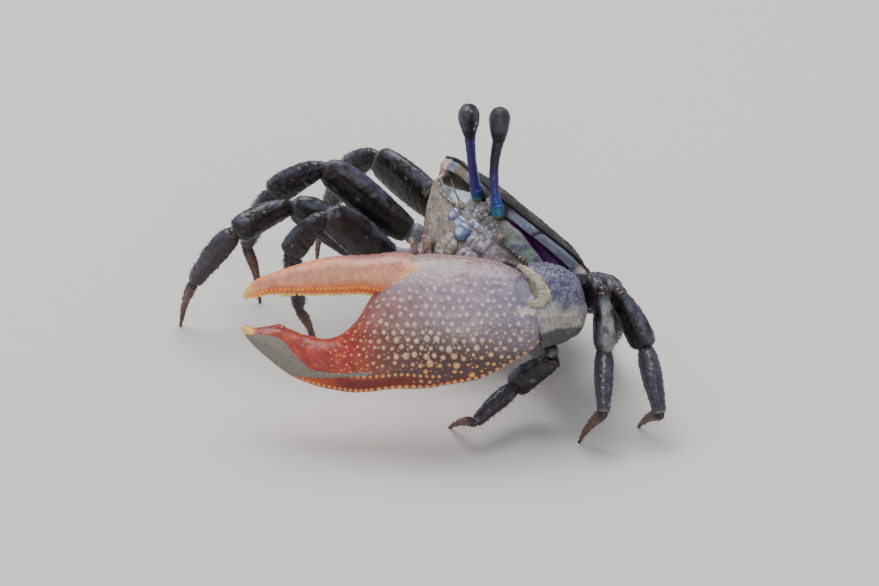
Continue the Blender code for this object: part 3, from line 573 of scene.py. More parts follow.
def make_carapace():
    x, f, z, step = carapace_section()
    side = np.abs(x)
    grid = on_body(x, f, z)
    above = ease(-0.1, -0.6, step)
    rng = np.random.default_rng(11)
    sx, sf = rng.uniform((-0.44, -0.30), (0.44, 0.24), (SHELL_GRAINS, 2)).T
    inside = (sf > mirrored(REAR_EDGE, sx) + 0.02) & (sf < mirrored(FRONT_EDGE, sx) - 0.015)
    sx, sf = sx[inside], sf[inside]
    size = rng.uniform(0.16, 0.32, len(sx))
    rise, cover = domes(grid, on_body(sx, sf, shell_top(sx, sf)), size, 0.3)
    fine = (0.05 * lumps(grid, 1.6, 3) + 0.03 * lumps(grid, 0.7, 4)) * (0.35 + 0.65 * above)
    corner = ease(0.435, 0.455, side) * window(step, 1.2, 2.0, 7.0, 8.0)
    rings = 0.05 * corner * np.sin(((side - 0.45) ** 2 + (z + 0.02) ** 2) ** 0.5 * CORNER_RINGS)
    seam = bump(0.235 + 0.5 * (z - 0.01), 0.006 + 0.006 * ease(4, 3, step), side)
    seam = seam * window(step, 2.4, 3.0, 5.0, 5.6)
    grid = raised(grid, fine + rise * above + rings - 0.20 * seam)
    paint = painted(SHELL_DARK, [
        (SHELL_PALE, 0.55 * patches(grid, 6.0, 5, -0.2, 0.9)),
        # Painted shade: the furrows darkened
        (SHELL_DARK * 0.55, 0.8 * np.clip(groove(x, f) / 0.010, 0, 1)),
        (SHELL_PALE * 1.1, 0.5 * cover),
    ])
    wall = painted(ORBIT_BLUE, [
        (ORBIT_BLUE * 0.55, patches(grid, 2.6, 6, 0.1, 0.9)),
        (FACE_WHITE, 0.25 * bump(3.1, 0.5, step) * ease(0.10, 0.2, side)),
        # Lower half of the plates painted paler: partly their own pale colour, partly painted light against
        # the shade where they curve under
        (PLATE_PALE_AND_LIT, 0.75 * ease(3.4, 4.5, step)),
        (FACE_WHITE, 0.55 * bump(4.95, 0.22, step) * ease(0.14, 0.20, side)),
    ])
    far = mix(wall, CHEEK_TAN * 0.6, window(side, 0.24, 0.30, 0.36, 0.40))
    far = mix(far, FACE_WHITE, 0.8 * bump(0.20, 0.02, side))
    wall = np.where((x < 0)[..., None], far, wall)
    wall = painted(wall, [
        (MARGIN_DARK, seam),
        # Deep in the socket: purple, its own colour deepened by painted shade, and on the right side tan
        # darkened into painted shade
        (ORBIT_PURPLE, ease(5.3, 5.8, step) * ease(-0.10, -0.05, x)),
        (CHEEK_TAN * 0.35, ease(5.0, 5.8, step) * ease(-0.05, -0.10, x)),
    ])
    paint = painted(paint, [
        (wall, ease(2.2, 2.9, step) * ease(0.075, 0.10, side)),
        (MARGIN_DARK, bump(1.6, 0.75, step) * ease(0.03, 0.08, side)),
        (CORNER_PINK, 0.9 * corner),
    ])
    mud = 0.30 * above * patches(grid, 5.0, 7, 0.2, 1.0) * ease(0.1, -0.2, f)
    dress("carapace_shell", [(grid, paint, mud), front_tongue()], "shell", "carapace")


def front_tongue():
    """Narrow front that hangs between the eyestalks."""
    path = spread([on_body(0, 0.300, 0.030), on_body(0, 0.326, 0.010), on_body(0, 0.334, -0.045),
                   on_body(0, 0.330, -0.110)], 70)
    share = shares(70)
    size = np.interp(share, [0, 0.25, 0.7, 1], [1.25, 0.90, 0.75, 0.50]) * rounded(share, 0.02, 0.10)
    grid = ring_tube(path, size * 0.55, size * 1.25, FORWARD, 60)
    grid = raised(grid, 0.10 * lumps(grid, 0.9, 8) + 0.05 * lumps(grid, 0.4, 9))
    paint = painted(SHELL_DARK, [
        (FACE_GREY * 0.8, ease(0.22, 0.42, share)),
        (RIM_DARK, 0.7 * patches(grid, 0.8, 10, 0.3, 0.9)),
        (FACE_WHITE, 0.6 * patches(grid, 0.7, 12, 0.5, 0.9) * ease(0.3, 0.5, share)),
    ])
    return grid, paint, 0.0


# Trunk: eye sockets, cheeks, breastplate and belly

CHEEK_GRAINS = 1400
FACE_STREAKS = 420
BREAST_STEP = 0.105
ORBIT_BEAD_STEP = 0.0155
ABDOMEN_JOINTS = 6.5


def rim_level(x):
    """Level of the lower rim of the eye sockets."""
    return RIM_LEVEL + 0.030 * ease(0.34, 0.46, np.abs(x))


def trunk_section():
    """Side, forward and upward place of every point, and the knot of its section that it is near."""
    x = TRUNK_HALF * np.sin(np.linspace(-math.pi / 2, math.pi / 2, 270))[:, None]
    a, b, c, low = (mirrored(pairs, x) for pairs in (REAR_EDGE, FRONT_EDGE, FACE_EDGE, KEEL))
    d = orbit_depth(x)
    upper, lower = hollow_levels(x)
    share = d / ORBIT_DEPTH
    roof = -0.030 + 0 * x
    rim = rim_level(x)
    deep = np.minimum(low, rim - 0.02) - rim
    lip = c - 0.012 * share
    knots = [
        (b - 0.075 - 1.1 * d, roof),
        (b - 0.035 - 1.1 * d, upper),
        (b - 0.020 - 0.95 * d, lower),
        (lip - 0.006, lower - 0.004),
        (lip + 0.004, 0.5 * (lower + rim)),
        (c - 0.002 * share, rim + 0.014),
        (c + 0.005 * share, rim),
        (c + 0.002, rim + 0.10 * deep),
        (c - 0.004, rim + 0.40 * deep),
        (c - 0.030, rim + 0.74 * deep),
        (c - 0.100, rim + deep),
        ((a + b) / 2, rim + deep - 0.004),
        (a + 0.130, rim + 0.93 * deep),
        (a + 0.058, -0.074 + 0.72 * (rim + deep + 0.074)),
        (a + 0.024, -0.074 + 0.35 * (rim + deep + 0.074)),
        (a + 0.030, -0.060 + 0 * x),
        ((a + b) / 2 - 0.02, roof),
    ]
    count = 14 * (len(knots) - 1) + 1
    section = np.moveaxis(spread([np.concatenate(k, 1) for k in knots], count), 0, 1)
    narrow = ease(0.20, 0.34, b - a)
    mid = (a + b) / 2
    section[..., 0] = mid + (section[..., 0] - mid) * (0.93 + 0.07 * narrow)
    step = np.linspace(0, len(knots) - 1, count)[None]
    return np.broadcast_to(x, section.shape[:2]), section[..., 0], section[..., 1], step


def orbit_beads(rng):
    """Places and sizes of the beads along the lower rim of the eye sockets."""
    x = np.arange(0.100, 0.445, ORBIT_BEAD_STEP)
    x = np.concatenate([-x[::-1], x])
    places = on_body(x, mirrored(FACE_EDGE, x) + 0.004, rim_level(x) - 0.002)
    return places, 0.25 * rng.uniform(0.55, 1.25, len(x))


def make_trunk():
    x, f, z, step = trunk_section()
    side = np.abs(x)
    grid = on_body(x, f, z)
    rng = np.random.default_rng(21)
    cheek = window(step, 6.5, 7.2, 9.5, 11.0)
    places, size = orbit_beads(rng)
    rise, bead = domes(grid, places, size, 1.15)
    row = rng.integers(15, 255, CHEEK_GRAINS)
    column = rng.integers(98, 140, CHEEK_GRAINS)
    grains = rng.uniform(0.13, 0.27, CHEEK_GRAINS)
    more, sand = domes(grid, grid[row, column], grains, 0.6)
    more, sand = more * ease(0.12, 0.15, side), sand * ease(0.12, 0.15, side)
    frame_line = bump(0.150, 0.006, side) * window(step, 7.0, 7.6, 9.6, 10.2)
    breast = window(step, 10.6, 11.0, 12.4, 13.0)
    seam = bump(0.0, 0.16, np.sin((f + 0.06 * side) * math.pi / BREAST_STEP))
    seam = seam * breast * ease(0.10, 0.14, side)
    streaks = 0.10 * np.sin(x * FACE_STREAKS + 1.5 * lumps(grid, 2.0, 20))
    streaks = streaks * ease(0.16, 0.13, side) * bump(7.9, 0.6, step)
    fine = 0.06 * lumps(grid, 1.8, 22) + 0.03 * lumps(grid, 0.8, 23)
    sculpt = 0.22 * frame_line - 0.35 * seam + streaks + fine
    grid = raised(grid, rise + more * cheek + sculpt)
    near = ease(-0.02, 0.04, x) * ease(0.26, 0.14, side)
    paint = painted(UNDER_PALE, [
        (UNDER_PALE * 0.7, patches(grid, 4.0, 24, -0.2, 0.9)),
        (CHEEK_TAN, cheek * patches(grid, 3.0, 25, -0.5, 0.6)),
        (MOUTH_MAUVE, cheek * near),
        (MOUTH_PALE, 0.7 * cheek * near * patches(grid, 1.2, 28, 0.0, 0.8)),
        (BEAD_CREAM, 0.5 * cheek * sand),
    ])
    # Hollow of the eye socket: purple, its own colour deepened by painted shade, and on the right side tan
    # darkened into painted shade
    hollow = mix(ORBIT_PURPLE, CHEEK_TAN * 0.35, ease(-0.05, -0.10, x))
    paint = mix(paint, hollow, ease(3.3, 2.6, step))
    band = window(step, 2.9, 3.4, 5.1, 5.6) * ease(0.09, 0.12, side)
    pale = mix(ORBIT_GREEN, ORBIT_BLUE, patches(grid, 2.0, 29, 0.0, 0.8))
    pale = mix(pale, FACE_WHITE, 0.75 * window(x, -0.30, -0.25, -0.15, -0.11))
    paint = mix(paint, pale, band)
    paint = mix(paint, RIM_DARK, bump(6.0, 0.75, step) * ease(0.085, 0.105, side))
    speck = mix(BEAD_CREAM, FACE_GREY * 0.7, patches(grid, 1.1, 33, -0.3, 0.5))
    paint = mix(paint, speck, ease(0.15, 0.5, bead))
    middle = ease(0.125, 0.090, side) * window(step, 2.0, 3.0, 6.6, 7.4)
    face = mix(FACE_GREY, RIM_DARK, 0.6 * patches(grid, 1.3, 32, 0.0, 0.8))
    paint = painted(paint, [
        (face, middle * 0.9),
        (FACE_WHITE, 0.8 * middle * patches(grid, 0.7, 30, 0.65, 1.0)),
        (CORNER_PINK, ease(0.445, 0.460, side) * ease(7.0, 6.0, step)),
        (RIM_DARK, 0.7 * seam),
    ])
    mud = 0.60 * cheek * patches(grid, 2.6, 26, -0.1, 0.8) * (1 - 0.8 * near)
    mud = mud + 0.35 * breast
    dress("trunk_shell", [(grid, paint, mud)], "underside", "trunk")


def make_abdomen():
    knots = [(-0.362, -0.115), (-0.356, -0.190), (-0.326, -0.315), (-0.252, -0.395),
             (-0.022, -0.422), (0.130, -0.418)]
    count = 160
    path = on_body(0.0, *spread(knots, count).T)
    share = shares(count)
    joint = np.abs(np.sin(share * math.pi * ABDOMEN_JOINTS))
    wide = np.interp(share, [0, 0.1, 0.45, 0.8, 1], [2.6, 3.3, 2.9, 1.9, 0.8])
    wide = wide * (0.93 + 0.09 * joint ** 0.6) * rounded(share, 0.02, 0.05)
    thick = np.interp(share, [0, 0.1, 0.9, 1], [0.5, 0.72, 0.72, 0.5]) * rounded(share, 0.02, 0.05)
    thick = thick * (0.86 + 0.16 * joint ** 0.5)
    grid = ring_tube(path, wide, thick, LEFT, 60)
    # Painted shade: darker in the creases between the segments
    paint = mix(UNDER_PALE, UNDER_PALE * 0.6, ease(0.35, 0.05, joint))
    mud = 0.45 * patches(grid, 2.4, 31, 0.0, 0.9)
    dress("abdomen_flap", [(grid, paint, mud)], "underside", "abdomen")


# Eyes

STALK_LENGTH = 11.85
STALK_RADIUS = 0.76
STALK_BOW = {"left": 0.76, "right": 0.25}
STALK_FOOT = {"left": (0.062, 0.322, -0.031), "right": (-0.092, 0.318, -0.026)}
EYE_LENGTH = 4.8
EYE_RADIUS = 1.56
EYE_OUTLINE = ((0, 0.60), (0.10, 0.70), (0.28, 0.88), (0.50, 1.02), (0.68, 1.06), (0.84, 0.90),
               (0.95, 0.54), (1, 0.05))


def stalk_line(side):
    base = on_body(*STALK_FOOT[side])
    if side == "left":
        return base, unit(0.99 * ACROSS + 0.135 * FACE)
    return base, unit(0.104 * ALONG + 0.825 * ACROSS + 0.555 * FACE)


def make_stalk(side):
    base, axis = stalk_line(side)
    share = shares(150)
    s = 1.12 * share - 0.10
    knob = 1.0 if side == "left" else 0.6
    swelling = ((0, 0.9), (0.05, 1.05 + 0.45 * knob), (0.11, 1.05 + 0.55 * knob), (0.17, 1.35), (0.24, 1.12),
                (0.5, 0.98), (0.75, 1.02), (0.9, 1.18), (1, 1.30))
    girth = profile(swelling, share) * STALK_RADIUS * rounded(share, 0.05, 0.01)
    bow = STALK_BOW[side] * 4 * np.maximum(s, 0) * (1 - s)
    path = base + axis * STALK_LENGTH * s + ALONG * bow
    grid = ring_tube(path, girth, girth, FORWARD, 48)
    ring = 0.10 * bump(0.175, 0.012, share) - 0.12 * bump(0.195, 0.010, share)
    grid = raised(grid, ring + 0.03 * lumps(grid, 1.4, 35))
    along = share + 0.02 * lumps(grid, 1.6, 36)
    shaded = ease(0.1, 0.7, -(facing(grid) * ALONG).sum(-1))
    coats = [
        (STALK_TEAL, ease(0.04, 0.09, along)),
        (STALK_DARK, 0.8 * shaded * ease(0.20, 0.10, along)),
        (STALK_DARK, 0.8 * ease(0.045, 0.015, along)),
        (STALK_BLUE, ease(0.13, 0.20, along)),
        (STALK_INDIGO, ease(0.26, 0.40, along)),
    ]
    if side == "left":
        coats += [(STALK_DARK, ease(0.50, 0.68, along))]
    else:
        coats += [(STALK_INDIGO, 0.7 * ease(0.10, 0.20, along)), (STALK_DARK, ease(0.88, 0.97, along))]
    dress("eyestalk_skin_" + side, [(grid, painted(STALK_GREEN, coats), 0.0)], "stalk", "eyestalk_" + side)


def make_eyeball(side):
    base, axis = stalk_line(side)
    start = base + axis * (STALK_LENGTH - 0.5)
    share = shares(110)
    girth = EYE_RADIUS * profile(EYE_OUTLINE, share)
    path = start + axis * (EYE_LENGTH + 0.8) * share - ALONG * 0.35 * share ** 2
    grid = ring_tube(path, girth * 1.04, girth, FORWARD, 72)
    cap = ease(0.24, 0.34, share)
    grid = raised(grid, 0.03 * cap + 0.03 * lumps(grid, 2.2, 37))
    coats = [(EYE_DARK, cap), (EYE_BROWN, cap * patches(grid, 2.4, 38, -0.3, 0.9))]
    if side == "right":
        toward = (facing(grid) * ALONG).sum(-1)
        coats += [
            (EYE_TEAL, 0.6 * ease(-0.1, 0.7, toward + 0.35 * lumps(grid, 1.2, 39)) * ease(0.1, 0.3, share)),
            (STALK_DARK * 0.5, bump(-0.25, 0.22, toward) * ease(0.2, 0.4, share)),
            (MOUTH_PALE, 0.5 * ease(1.0, 1.3, lumps(grid, 1.1, 40, 60)) * ease(0.0, -0.3, toward)),
        ]
    dress("eyeball_" + side, [(grid, painted(STALK_DARK, coats), 0.0)], "eye", "eye_" + side)


# Mouth and feelers

def plate_grid(centre, size, up_axis, out_axis, rows=70, around=56):
    """Rounded plate, with the place of each point along its height and across it, -1 to 1."""
    high, wide, thick = size
    side_axis = np.cross(up_axis, out_axis)
    s = np.linspace(-1, 1, rows)[:, None]
    round_off = np.maximum(0.05, np.sqrt(np.maximum(0.0, 1 - np.abs(s) ** 2.6)))
    c, d = np.cos(ring_angles(around))[None], np.sin(ring_angles(around))[None]
    c, d = np.sign(c) * np.abs(c) ** 0.7, np.sign(d) * np.abs(d) ** 0.8
    across, depth = wide * round_off * c, thick * np.maximum(0.3, round_off) * d
    mid = centre + up_axis * (high * s)[..., None]
    return mid + side_axis * across[..., None] + out_axis * depth[..., None], s, c


def make_mouth(side, sign):
    """Two plates of the mouth and the feeler beside them, on one side."""
    out = unit(FORWARD - 0.12 * UP + sign * 0.22 * LEFT)
    along = unit(UP + 0.12 * FORWARD)
    centre = on_body(sign * 0.063, 0.302, -0.280)
    colour, dirt = (CHEEK_TAN, 0.55) if side == "right" else (MOUTH_MAUVE, 0.3)
    parts = []
    for shift, high, wide in ((-1.0, 2.6, 1.90), (2.45, 1.05, 1.75)):
        grid, s, c = plate_grid(centre + along * shift, (high, wide, 0.70), along, out)
        furrow = bump(-0.35 * sign, 0.10, c) * ease(0.95, 0.7, np.abs(s))
        beads = 0.08 * np.abs(np.sin(c * 9)) * np.abs(np.sin(s * 9))
        fine = 0.05 * lumps(grid, 1.0, 41) + beads
        grid = grid + out * (fine - 0.16 * furrow)[..., None]
        paint = mix(colour, MOUTH_PALE, patches(grid, 1.3, 42, -0.3, 0.8))
        # Painted shade: the furrow darkened
        paint = mix(paint, MOUTH_MAUVE * 0.45, 0.8 * furrow)
        parts.append((grid, paint, dirt * patches(grid, 1.5, 43, -0.4, 0.8)))
    elbow = centre + along * 3.2 - out * 0.1 - LEFT * sign * 0.2
    palp = spread([elbow, elbow + out * 0.6 + along * 0.1, elbow + out * 0.75 - along * 0.9,
                   elbow + out * 0.5 - along * 2.0], 50)
    share = shares(50)
    girth = np.interp(share, [0, 0.3, 0.7, 1], [0.36, 0.38, 0.30, 0.16]) * rounded(share)
    parts.append((ring_tube(palp, girth, girth, LEFT, 28), MOUTH_PALE, 0.3))
    dress("mouth_plates_" + side, parts, "mouth", "maxilliped_" + side)
    root = on_body(sign * 0.125, 0.285, -0.118)
    aim = unit(sign * 0.62 * LEFT + 0.62 * FORWARD + 0.30 * UP)
    share = shares(90)
    girth = np.interp(share, [0, 0.08, 0.2, 0.30, 0.6, 1.0], [0.5, 0.62, 0.50, 0.20, 0.14, 0.05])
    girth = girth * (1 + 0.10 * np.sin(share * 90) * ease(0.3, 0.4, share)) * rounded(share, 0.03, 0.02)
    path = root + aim * 5.0 * share + UP * share ** 2
    paint = mix(CHEEK_TAN, SKIN_CREAM * 0.6, ease(0.2, 0.8, share))
    dress("feeler_" + side, [(ring_tube(path, girth, girth, UP, 24), paint, 0.0)], "mouth", "antenna_" + side)


# Lumps over the mouth: sideways, forward and upward place in carapace widths,
# half height, half width and thickness in millimetres, and how blue and bright each is; those above one half
# also get a painted highlight
FACE_LUMPS = (
    (0.0, 0.312, -0.142, 0.60, 1.7, 0.45, 0.0),
    (-0.034, 0.320, -0.206, 1.50, 1.35, 0.85, 1.0),
    (-0.078, 0.308, -0.182, 1.10, 1.15, 0.60, 0.9),
    (-0.146, 0.288, -0.170, 1.10, 0.90, 0.55, 0.7),
    (0.030, 0.318, -0.195, 1.00, 0.55, 0.42, 0.1),
    (0.066, 0.312, -0.188, 1.05, 0.55, 0.42, 0.0),
    (0.100, 0.302, -0.180, 1.05, 0.50, 0.40, 0.0),
)


def make_face():
    parts = []
    for x, f, z, high, wide, thick, bright in FACE_LUMPS:
        grid, s, c = plate_grid(on_body(x, f, z), (high, wide, thick), UP, unit(FORWARD + 0.1 * UP), 50, 50)
        folds_and_glint = np.sin(c * 8)
        # On the brightest lumps the white is a pale upper rim and a painted highlight lower down; on the
        # others it lies in stripes
        if bright > 0.5:
            folds_and_glint = np.maximum(0.7 * ease(0.40, 0.85, s), bump(-0.20, 0.50, s) * bump(-0.1, 0.6, c))
            folds_and_glint = folds_and_glint - 0.6 * bump(0.35, 0.12, s)
        grid = grid + FORWARD * (0.06 * folds_and_glint)[..., None]
        paint = painted(MOUTH_MAUVE, [
            (FACE_BLUE, 0.10 + 0.90 * bright),
            (FACE_WHITE, 0.85 * ease(0.2, 0.9, folds_and_glint)),
            (ORBIT_PURPLE, 0.5 * ease(0.80, 1.0, np.abs(s))),
        ])
        parts.append((grid, paint, 0.0))
    dress("face_plate", parts, "face_blue", "epistome")


# Walking legs

SEGMENTS = ("merus", "carpus", "propodus", "dactyl")
SEGMENT_SLOTS = ("leg", "leg", "shin", "toe")
# Lengths of the segments, and hips as outward, forward and upward place, in carapace widths
LEG_LENGTHS = {
    2: (0.58, 0.25, 0.30, 0.25),
    3: (0.74, 0.29, 0.34, 0.30),
    4: (0.73, 0.29, 0.34, 0.30),
    5: (0.66, 0.25, 0.30, 0.26),
}
HIPS = {
    2: (0.23, 0.10, -0.35),
    3: (0.25, 0.00, -0.34),
    4: (0.26, -0.10, -0.27),
    5: (0.22, -0.21, -0.24),
}
LEG_STOUTNESS = {
    2: (1.0, 0.90, 0.80, 0.80),
    3: (1.0, 1.0, 1.0, 1.0),
    4: (1.0, 1.0, 1.0, 1.0),
    5: (1.08, 0.95, 0.90, 0.90),
}
THIGH_SAG = {("right", 2): 4.2, ("right", 3): 4.6, ("right", 4): 3.2}
SAG_SHAPE = 27 / 4
SEGMENT_OVERLAP = 0.25
FOOT_LEVEL = -0.12
# Turn and rise of each segment in degrees. The last rise only says which way the toe points
LEG_POSE = {
    ("right", 2): ((49, 23), (39, -50), (54, -98), (52, -105)),
    ("right", 3): ((30, 15), (57, -16), (27, -55), (-20, -78)),
    ("right", 4): ((25, 27), (23, -35), (5, -65), (13, -100)),
    ("right", 5): ((2, 29), (-5, -42), (-8, -66), (-9, -83)),
    ("left", 2): ((31, -4), (159, -40), (94, -11), (202, -30)),
    ("left", 3): ((18, 29), (47, -75), (57, -29), (19, -122)),
    ("left", 4): ((21, 27), (-2, -57), (41, -38), (31, -132)),
    ("left", 5): ((19, 25), (-130, -57), (-131, -46), (-130, -45)),
}
# Outlines of the segments: share of the length, and share of the full size there
MERUS = ((0, 0.45), (0.12, 0.50), (0.29, 0.62), (0.41, 0.85), (0.61, 1.0), (0.82, 0.95), (0.95, 0.82),
         (1, 0.74))
CARPUS = ((0, 0.52), (0.18, 0.72), (0.50, 0.92), (0.85, 0.95), (1, 0.82))
PROPODUS = ((0, 0.60), (0.15, 0.80), (0.40, 0.86), (0.80, 0.66), (1, 0.54))
DACTYL = ((0, 0.44), (0.15, 0.48), (0.50, 0.31), (0.85, 0.17), (1, 0.13))
# Outline, half height, half width and arch in millimetres
GIRTHS = {
    "merus": (MERUS, 3.05, 1.72, 0.50),
    "carpus": (CARPUS, 2.35, 1.80, 0.45),
    "propodus": (PROPODUS, 2.10, 1.95, 0.30),
    "dactyl": (DACTYL, 1.75, 1.45, 0.55),
}
PALE_TOPPED = ("left", 3, "carpus")
LEG_AROUND = 60
LEG_ROWS = {"merus": 110, "carpus": 70, "propodus": 80, "dactyl": 80}


def heading(side, turn, rise):
    a, b = math.radians(turn), math.radians(rise)
    sign = SIDES[side]
    return np.array([sign * math.cos(a) * math.cos(b), -math.sin(a) * math.cos(b), math.sin(b)])


def leg_points(side, number):
    out, ahead, up = HIPS[number]
    points = [on_body(SIDES[side] * out, ahead, up)]
    for index, (turn, rise) in enumerate(LEG_POSE[side, number]):
        length = LEG_LENGTHS[number][index] * CW
        if index == 3:
            level = math.degrees(math.asin(np.clip((FOOT_LEVEL - points[-1][2]) / length, -1, 1)))
            rise = -180 - level if rise < -90 else level
        points.append(points[-1] + heading(side, turn, rise) * length)
    return points


def segment_frame(points, index):
    """Start, end, direction and upper side of one leg segment."""
    a, b = points[index], points[index + 1]
    ahead = unit(b - a)
    level = unit(np.cross(ahead, (0, 0, 1.0)) + 1e-6 * LEFT)
    over = unit(np.cross(level, ahead))
    return a, b, ahead, -over if over[2] < 0 else over


def leg_segment(side, number, index):
    """Grid, paint and mud of one segment."""
    segment = SEGMENTS[index]
    seed = 100 * number + 10 * index + (5 if side == "left" else 0)
    a, b, ahead, over = segment_frame(leg_points(side, number), index)
    pairs, high, wide, arch = GIRTHS[segment]
    rows = LEG_ROWS[segment]
    along = shares(rows)
    s = 1.02 * along - 0.01
    bow = arch * 4 * s * (1 - s)
    if segment == "merus":
        bow = bow - THIGH_SAG.get((side, number), 0.0) * SAG_SHAPE * s * (1 - s) ** 2
    girth = profile(pairs, s) * LEG_STOUTNESS[number][index]
    girth = girth * rounded(along, 0.10 if index else 0.02, 0.012 if segment == "dactyl" else 0.11)
    path = a + (b - a) * s + over * bow
    if index:
        path = path - ahead * SEGMENT_OVERLAP * (1 - along)
    grid = ring_tube(path, girth * high, girth * wide, over, LEG_AROUND, 0.9)
    angle = ring_angles(LEG_AROUND)[None]
    top = bump(0.0, 0.30, np.minimum(angle, 2 * math.pi - angle))
    middle = window(along, 0.0, 0.12, 0.90, 1.0)
    rugae = 0.012 * np.sin(along * rows * 0.55 + 3.0 * lumps(grid, 2.2, seed)) * middle
    fine = 0.045 * lumps(grid, 1.1, seed + 1) + 0.02 * lumps(grid, 0.5, seed + 2)
    if segment == "dactyl":
        sculpt = np.cos(angle * 3) ** 2 * 0.12 * middle * ease(1.0, 0.6, along)
    else:
        low = bump(math.pi - 0.55, 0.20, angle) + bump(math.pi + 0.55, 0.20, angle)
        flank = bump(math.pi / 2, 0.28, angle) + bump(3 * math.pi / 2, 0.28, angle)
        hollow = 0.16 * flank * (0.4 if segment == "merus" else 1.0)
        sculpt = (0.13 * top + 0.10 * low - hollow) * middle + 0.10 * bump(0.955, 0.02, along)
    if segment == "merus":
        sculpt = sculpt - 0.45 * (bump(0.31, 0.010, along) + 0.8 * bump(0.15, 0.010, along))
    grid = raised(grid, (sculpt + rugae + fine) * rounded(along, 0.06, 0.05))
    paint = leg_paint(grid, along, angle, segment, seed)
    if (side, number, segment) == PALE_TOPPED:
        streak = ease(0.45, 0.80, np.cos(angle + 0.6)) * ease(0.10, 0.3, along)
        paint = mix(paint, TOP_GREY, 0.85 * streak * patches(grid, 2.0, seed + 8, -1.8, -0.6))
    if segment in ("merus", "carpus", "propodus"):
        paint = mix(paint, HIP_PALE, 0.45 * bump(0.972, 0.012, along) * ease(-0.2, 0.8, np.cos(angle)))
    mud = 0.34 * patches(grid, 2.2, seed + 3, 0.60, 1.2) + 0.05 * top
    if segment in ("propodus", "dactyl"):
        mud = mud + 0.12 * patches(grid, 1.2, seed + 4, 0.3, 0.9)
    return grid, paint, mud


def leg_paint(grid, along, angle, segment, seed):
    # Painted sheen: blue-grey along the top of each segment, where the sky is reflected
    top_sheen = ease(0.55, 0.95, np.cos(angle)) * window(along, 0.04, 0.2, 0.85, 0.98)
    coats = [
        (LEG_PURPLE, 0.45 * patches(grid, 3.5, seed + 5, -0.2, 0.9)),
        (LEG_BROWN, 0.55 * patches(grid, 2.8, seed + 7, -0.1, 0.9)),
        (LEG_SHEEN_BLUE, 0.60 * top_sheen * patches(grid, 3.2, seed + 6, -0.8, 0.6)),
    ]
    if segment == "merus":
        coats += [(HIP_PALE, ease(0.34, 0.28, along)), (CHEEK_TAN, 0.5 * ease(0.12, 0.05, along))]
    if segment == "propodus":
        coats += [(mix(SHIN_RED, SHIN_MAUVE, ease(-0.15, 0.40, np.cos(angle))), 0.8 * ease(0.0, 0.1, along))]
    if segment == "dactyl":
        coats += [(TOE_RED, ease(0.02, 0.25, along)), (TOE_RED * 0.45, ease(0.85, 1.0, along))]
    return painted(LEG_BLACK, coats)


def joint_skin(points, index, number):
    """Soft brown skin that shows between two segments."""
    before, after = unit(points[index] - points[index - 1]), unit(points[index + 1] - points[index])
    pairs, high, wide, _ = GIRTHS[SEGMENTS[index]]
    size = pairs[0][1] * LEG_STOUTNESS[number][index] * 1.05
    share = shares(26)
    path = spread([points[index] - before * 0.9, points[index], points[index] + after * 0.9], 26)
    swell = size * (0.9 + 0.08 * np.sin(share * 25)) * rounded(share, 0.2, 0.2)
    over = segment_frame(points, index)[3]
    grid = ring_tube(path, swell * high, swell * wide, over, 36)
    return grid, mix(JOINT_BROWN, LEG_BLACK, patches(grid, 1.5, index, -0.2, 0.8)), 0.0


def make_leg(side, number):
    points = leg_points(side, number)
    for index, segment in enumerate(SEGMENTS):
        node = "leg_%d_%s_%s" % (number, side, segment)
        parts = [leg_segment(side, number, index)]
        if index:
            parts.append(joint_skin(points, index, number))
        dress(node + "_shell", parts, SEGMENT_SLOTS[index], node)


# Bristles: thin curved cones, each with its patch on a map of the legs

BRISTLE_RADIUS = 0.035
# How many bristles a segment has, and their length in millimetres
BRISTLES = {"merus": (120, 0.50), "carpus": (70, 0.55), "propodus": (120, 0.75), "dactyl": (80, 0.50)}


def bristles(roots, aims, bends, lengths):
    """Points and faces of hairs: two rings of three points and a tip each."""
    across = unit(np.cross(aims, bends) + 1e-6)
    turns = ring_angles(3)[None, :, None]
    ring = across[:, None] * np.cos(turns) + np.cross(aims, across)[:, None] * np.sin(turns)
    lengths = lengths[:, None]
    points = np.zeros((len(roots), 7, 3))
    for level, (reach, thin) in enumerate(((0.0, 1.0), (0.5, 0.7))):
        mid = roots + aims * (lengths * reach) + bends * (lengths * reach ** 2)
        points[:, 3 * level:3 * level + 3] = mid[:, None] + ring * (BRISTLE_RADIUS * thin)
    points[:, 6] = roots + aims * lengths + bends * lengths
    base = 7 * np.arange(len(roots))[:, None, None]
    quads = np.array([[k, (k + 1) % 3, 3 + (k + 1) % 3, 3 + k] for k in range(3)])[None] + base
    tris = np.array([[3 + k, 3 + (k + 1) % 3, 6] for k in range(3)] + [[2, 1, 0]])[None] + base
    return points.reshape(-1, 3), quads.reshape(-1, 4), tris.reshape(-1, 3)


def lay_out(mesh, cells):
    """Give each hair its own patch on the map, at the place of its root."""
    corner = np.zeros(len(mesh.loops), np.int32)
    mesh.loops.foreach_get("vertex_index", corner)
    spot = np.array([[0, 0], [1, 0], [0.5, 0.9], [0.1, 0.4], [0.9, 0.4], [0.5, 1.0], [0.5, 0.5]]) * 0.003
    place = cells[corner // 7] + spot[corner % 7]
    layer = mesh.uv_layers.new(name="OFBake")
    layer.data.foreach_set("uv", place.ravel().astype(np.float32))


